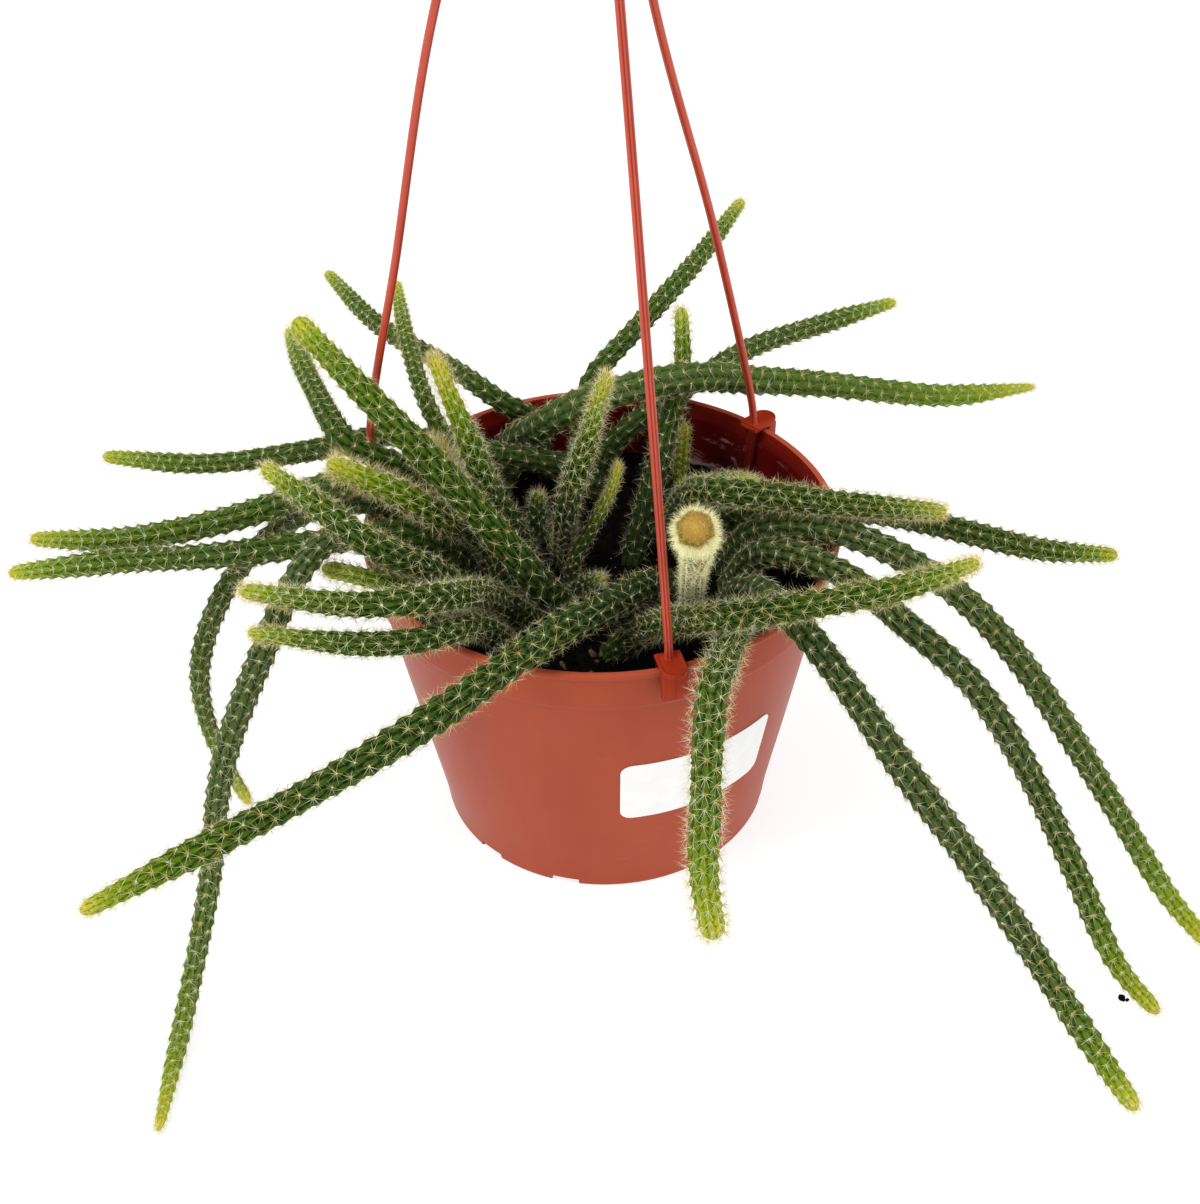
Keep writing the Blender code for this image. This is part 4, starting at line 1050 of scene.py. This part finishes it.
def scatter():
    rng = np.random.default_rng(5)
    fines, bark, perlite = [], [], []
    for _ in range(520):
        r, a = 70.0 * math.sqrt(rng.random()), rng.uniform(0, 2 * math.pi)
        x, y = r * math.sin(a), -r * math.cos(a)
        size = 0.35 + 1.0 * rng.random() ** 2.2
        fines.append(lump(rng, (x, y, mix_height(x, y) + 0.25 * size), size, (1.3, 1, 0.8), 0 if size < 0.7 else 1))
    for _ in range(30):
        r, a = 69.0 * math.sqrt(rng.random()), rng.uniform(0, 2 * math.pi)
        x, y = r * math.sin(a), -r * math.cos(a)
        size = 0.3 + 0.8 * rng.random() ** 2
        bark.append(lump(rng, (x, y, mix_height(x, y) + 0.3 * size), size, (1.7, 1, 0.6)))
    for _ in range(10):
        r, a = 69.0 * math.sqrt(rng.random()), rng.uniform(0, 2 * math.pi)
        x, y = r * math.sin(a), -r * math.cos(a)
        size = 0.22 + 0.33 * rng.random() ** 2
        perlite.append(lump(rng, (x, y, mix_height(x, y) + 0.35 * size), size, (1.1, 1, 0.9)))
    # A knot of old bark and root crumbs lies in the open patch at the front.
    for dx, dy, size, st in ((-3.6, -42.6, 0.9, (1.8, 1, 0.7)), (-0.6, -41.8, 1.2, (1.7, 0.9, 0.8)),
                             (2.6, -40.6, 1.0, (1.6, 1, 0.8)), (1.2, -44.6, 0.7, (1.5, 0.8, 0.7)),
                             (-2.4, -45.2, 0.6, (1.3, 1, 0.7))):
        bark.append(lump(rng, (dx, dy, mix_height(dx, dy) + 0.45 * size), size, st, 2))
    gather("mix_crumbs", fines, "potting_mix", mix_material())
    gather("mix_bark", bark, "potting_mix", bark_material())
    gather("mix_perlite", perlite, "potting_mix", perlite_material())


scatter()


# ====================================================================== hanger
HANGER = hanger_material("hanger_strand", (0.410, 0.048, 0.021), (0.495, 0.065, 0.030), 0.40)
CLIP = hanger_material("hanger_clip", (0.295, 0.024, 0.005), (0.345, 0.030, 0.008), 0.08)
# A much darker copy of the clip plastic: painted shade for the blade and rib inside the pot.
CLIP_SHADE = hanger_material("hanger_clip_painted_shade", (0.105, 0.0080, 0.0040), (0.135, 0.0110, 0.0050), 0.05)
CLIPS = {"front": 15.0, "back": 134.0, "left": 254.0}
STRANDS = {
    "front": [(19.3, -71.9, 113.9), (19.0, -71.0, 122), (7.2, -27.0, 300), (1.4, -9.0, 372), (0.5, -4.0, 393),
              (0.3, -3.1, 398)],
    "back": [(53.7, 51.9, 113.9), (52.6, 51.0, 124), (37.0, 36.5, 200), (17.5, 21.0, 280), (2.6, 6.6, 372),
             (0.0, 4.0, 393), (-0.5, 3.0, 398)],
    "left": [(-71.8, 20.6, 113.9), (-75.5, 20.0, 128), (-60.5, 16.0, 205), (-43.0, 11.0, 285), (-13.0, 2.4, 372),
             (-7.4, 0.4, 392), (-6.3, 0.1, 398)],
}


def tube(name, centres, tangents, sides, shape, slot, material, scale=None):
    """A closed tube whose section is given as points in the plane of side and tangent x side."""
    around = len(shape)
    scale = np.ones(len(centres)) if scale is None else scale
    u = np.cross(tangents, sides)
    verts = (centres[:, None] + scale[:, None, None] * (shape[None, :, 0, None] * sides[:, None]
             + shape[None, :, 1, None] * u[:, None])).reshape(-1, 3)
    n = len(centres)
    i, k = np.meshgrid(np.arange(n - 1), np.arange(around), indexing="ij")
    m = (k + 1) % around
    quads = np.stack([i * around + k, i * around + m, (i + 1) * around + m, (i + 1) * around + k], -1).reshape(-1, 4)
    faces = [tuple(q) for q in quads.tolist()]
    verts = np.vstack([verts, centres[0], centres[-1]])
    a, b = n * around, n * around + 1
    faces += [((q + 1) % around, q, a) for q in range(around)]
    faces += [((n - 1) * around + q, (n - 1) * around + (q + 1) % around, b) for q in range(around)]
    return face_out(add_mesh(name, verts, faces, slot, [material]))


def bead_section(radius, groove, facing):
    """A round strand with two narrow grooves down the side at angle facing, and two opposite."""
    quarter = [0.0, 0.20, 0.33, 0.43, 0.53, 0.68, 1.0, 1.3]
    half = quarter + [np.pi / 2] + [np.pi - q for q in quarter[:0:-1]]
    a = np.array(half + [q + np.pi for q in half])
    r = np.full(len(a), radius)
    for centre in (-0.43, 0.43, np.pi - 0.43, np.pi + 0.43):
        r -= radius * groove * np.exp(-((np.angle(np.exp(1j * (a - centre)))) / 0.14) ** 2)
    return np.stack([r * np.cos(a + facing), r * np.sin(a + facing)], 1)


def strand(where, azimuth):
    line, length = spaced(through_points(STRANDS[where]), 2.0)
    t, s = carried_frames(line)
    a = math.radians(azimuth)
    outward = np.array([math.sin(a), -math.cos(a), 0.15])
    u0 = np.cross(t[0], s[0])
    facing = math.atan2(float(outward @ u0), float(outward @ s[0]))
    # A small root where the strand springs from its clip, and a flare into the hook's collar.
    along = np.linspace(0, length, len(line))
    extra = np.array([0.0, 0.35, 0.8, 1.4])
    centres = np.vstack([[np.array([np.interp(d, along, line[:, k]) for k in range(3)]) for d in extra], line[1:]])
    keep = np.r_[np.zeros(4, int), np.arange(1, len(line))]
    dist = np.r_[extra, along[1:]]
    scale = 1 + 0.62 * np.exp(-(dist / 0.9) ** 1.3) + 0.10 * np.exp(-((length - dist) / 3.0))
    section = bead_section(1.37, 0.30, facing)
    obj = tube("strand_" + where, centres, t[keep], s[keep], section, "hanger_plastic", HANGER, scale)
    # How dark each groove is painted: painted shade, read by the material.
    deep = np.clip((1.30 - np.linalg.norm(section, axis=1)) / 0.25, 0, 1) * 0.85
    write_attribute(obj.data, "groove", np.r_[np.tile(deep, len(centres)), 0, 0])
    return obj


def swept(name, section, half_width, azimuth, bevel, shift=0.0, material=None):
    """A section in radius and height with a width, turned to its azimuth, its edges rounded."""
    a = math.radians(azimuth)
    verts = []
    for y in (shift - half_width, shift + half_width):
        verts += [(x * math.sin(a) + y * math.cos(a), -x * math.cos(a) + y * math.sin(a), z) for x, z in section]
    n = len(section)
    faces = [tuple(range(n)), tuple(range(2 * n - 1, n - 1, -1))]
    faces += [(k, k + n, (k + 1) % n + n, (k + 1) % n) for k in range(n)]
    return rounded(face_out(add_mesh(name, verts, faces, None, [material or CLIP])), bevel)


def rounded(obj, bevel):
    if bevel:
        mod = obj.modifiers.new("round", "BEVEL")
        mod.width, mod.segments, mod.limit_method = bevel * MM, 3, "ANGLE"
        mod.angle_limit = math.radians(25)
    return obj


def plate(azimuth):
    """The clip's top plate: straight sides that end in a half round lobe, with a shallow dish behind its lip."""
    a = math.radians(azimuth)
    turn = lambda x, y, z: (x * math.sin(a) + y * math.cos(a), -x * math.cos(a) + y * math.sin(a), z)

    def outline(inset):
        r = 4.1 - inset
        bow = [(79.8 + r * math.cos(w), r * math.sin(w)) for w in np.linspace(-np.pi / 2, np.pi / 2, 29)]
        return [(72.3 + inset, -r), (76.0, -r)] + bow + [(76.0, r), (72.3 + inset, r)]

    rings = [(0.5, 113.75), (0.12, 113.85), (0.0, 114.15), (0.0, 114.95), (0.10, 115.25), (0.34, 115.38), (0.60, 115.28),
             (0.85, 115.02), (1.3, 114.95)]
    verts, n = [], len(outline(0))
    for inset, z in rings:
        verts += [turn(x, y, z) for x, y in outline(inset)]
    faces = [tuple(range(n - 1, -1, -1)), tuple(range((len(rings) - 1) * n, len(rings) * n))]
    for i in range(len(rings) - 1):
        faces += [(i * n + k, i * n + (k + 1) % n, (i + 1) * n + (k + 1) % n, (i + 1) * n + k) for k in range(n)]
    return face_out(add_mesh("clip_plate", verts, faces, None, [CLIP]))


def applied(obj):
    bpy.context.view_layer.update()
    done = bpy.data.meshes.new_from_object(obj.evaluated_get(bpy.context.evaluated_depsgraph_get()))
    obj.modifiers.clear()
    obj.data = done
    return obj


SADDLE = [(73.0, 113.5), (78.4, 113.5), (78.4, 103.6), (81.4, 103.6), (81.9, 108.5), (82.1, 113.6), (81.7, 114.4),
          (72.6, 114.8), (72.1, 114.4), (71.7, 113.5)]
BLADE = [(71.9, 114.2), (73.1, 114.2), (73.0, 108.0), (71.6, 97.0), (70.4, 97.0), (70.8, 108.0)]
RIB = [(71.4, 114.6), (70.9, 114.0), (70.1, 108.0), (69.7, 97.6), (70.2, 96.8), (71.2, 97.0), (72.0, 108.0), (72.4, 114.2)]


def clip(where, azimuth):
    # The blade and rib inside the pot take the darker painted-shade copy.
    parts = [applied(swept("clip_saddle", SADDLE, 3.9, azimuth, 0.45)),
             applied(swept("clip_blade", BLADE, 1.5, azimuth, 0.3, -1.3, CLIP_SHADE))]
    parts.append(applied(swept("clip_rib", RIB, 0.45, azimuth, 0.2, -2.5, CLIP_SHADE)))
    parts.append(plate(azimuth))
    # The mould's parting line runs down the outer block.
    parts.append(swept("clip_line", [(81.3, 103.9), (81.56, 103.9), (82.07, 108.5), (82.28, 113.4), (81.9, 113.4)], 0.14,
                       azimuth, 0))
    bpy.ops.object.select_all(action="DESELECT")
    for p in parts:
        p.select_set(True)
    bpy.context.view_layer.objects.active = parts[0]
    bpy.ops.object.join()
    obj = bpy.context.view_layer.objects.active
    obj.name = "clip_" + where
    obj.data.polygons.foreach_set("use_smooth", np.full(len(obj.data.polygons), True))
    obj.data.set_sharp_from_angle(angle=math.radians(40))
    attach(obj, "root")
    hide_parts("hanger_" + where)


for clip_name, clip_azimuth in CLIPS.items():
    clip(clip_name, clip_azimuth)
    strand(clip_name, clip_azimuth)

HOOK = [(-2.5, 0, 396.5), (-2.5, 0, 412), (-4, 0, 420), (-13, 0, 427), (-15, 0, 437), (-9, 0, 446), (1, 0, 449),
        (11, 0, 444), (14.5, 0, 434), (12, 0, 427)]


def hook():
    line, length = spaced(through_points(HOOK), 1.0)
    t, s = carried_frames(line)
    along = np.linspace(0, length, len(line))
    radius = np.interp(along, [0, 0.6, 1.4, 3.2, 4.4, 6.0, 9.0, 12.0, length - 6, length - 1.6, length - 0.6, length],
                       [6.4, 7.0, 7.2, 7.1, 6.0, 4.2, 3.2, 2.35, 2.25, 2.0, 1.5, 0.6])
    a = 2 * np.pi * np.arange(28) / 28
    shape = np.stack([np.cos(a), np.sin(a)], 1)
    obj = tube("hook", line, t, s, shape, "hanger_plastic", HANGER, radius)
    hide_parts("hanger_hook")


hook()


# ====================================================================== stage
def stage():
    floor_paint = Paint("floor", 0.7, 0.1)
    glow = floor_paint.bsdf.inputs
    glow["Emission Color"].default_value = (1.0, 1.0, 1.0, 1.0)
    glow["Emission Strength"].default_value = 0.76
    floor = add_mesh("floor", [(-4000, -4000, 0), (4000, -4000, 0), (4000, 4000, 0), (-4000, 4000, 0)],
                     [(0, 1, 2, 3)], None, [floor_paint.finish((0.32, 0.32, 0.32))])
    rng = np.random.default_rng(8)
    crumbs = [lump(rng, (x, y, 0.45 * s), s, (1.2, 1, 0.8), 1)
              for x, y, s in ((163.3, -110.3, 1.15), (164.9, -110.9, 0.55))]
    loose = gather("loose_grains", crumbs, None, mix_material())


stage()

# ====================================================================== light and camera
world = bpy.data.worlds.new("studio")
scene.world = world
world.use_nodes = True
back = next(n for n in world.node_tree.nodes if n.type == "BACKGROUND")
back.inputs["Color"].default_value = (1.0, 1.0, 1.0, 1.0)
back.inputs["Strength"].default_value = 1.0


def lamp(name, place, aim, size, power, colour=(1, 1, 1)):
    data = bpy.data.lights.new(name, "AREA")
    data.shape, data.size, data.energy, data.color = "DISK", size, power, colour
    obj = bpy.data.objects.new(name, data)
    scene.collection.objects.link(obj)
    obj.location = place
    obj.rotation_euler = (Vector(aim) - Vector(place)).to_track_quat("-Z", "Y").to_euler()
    return obj


lamp("key", (-0.75, -0.55, 1.55), (0, 0, 0.1), 0.7, 13.0)
lamp("fill", (1.1, -1.0, 0.9), (0, 0, 0.1), 0.9, 4.0)

# The camera looks down 39 degrees, turned a little about its own axis.
camera_data = bpy.data.cameras.new("camera")
camera_data.sensor_fit = "AUTO"
camera_data.sensor_width = 36.0
camera_data.lens = 2000.0 / 1204.0 * 36.0
camera_data.clip_start, camera_data.clip_end = 0.01, 50.0
camera = bpy.data.objects.new("camera", camera_data)
scene.collection.objects.link(camera)
elevation, roll = math.radians(39.0), math.radians(-1.16)
ahead = Vector((0, math.cos(elevation), -math.sin(elevation)))
right0 = Vector((1, 0, 0))
up0 = right0.cross(ahead)
right = math.cos(roll) * right0 + math.sin(roll) * up0
up = -math.sin(roll) * right0 + math.cos(roll) * up0
camera.matrix_world = Matrix((
    (right.x, up.x, -ahead.x, -0.00095 - 0.676 * ahead.x),
    (right.y, up.y, -ahead.y, -0.676 * ahead.y),
    (right.z, up.z, -ahead.z, 0.0784 - 0.676 * ahead.z),
    (0, 0, 0, 1)))
scene.camera = camera
scene.view_settings.view_transform = "Standard"
scene.view_settings.look = "None"
scene.view_settings.exposure = 0.0
scene.view_settings.gamma = 1.0
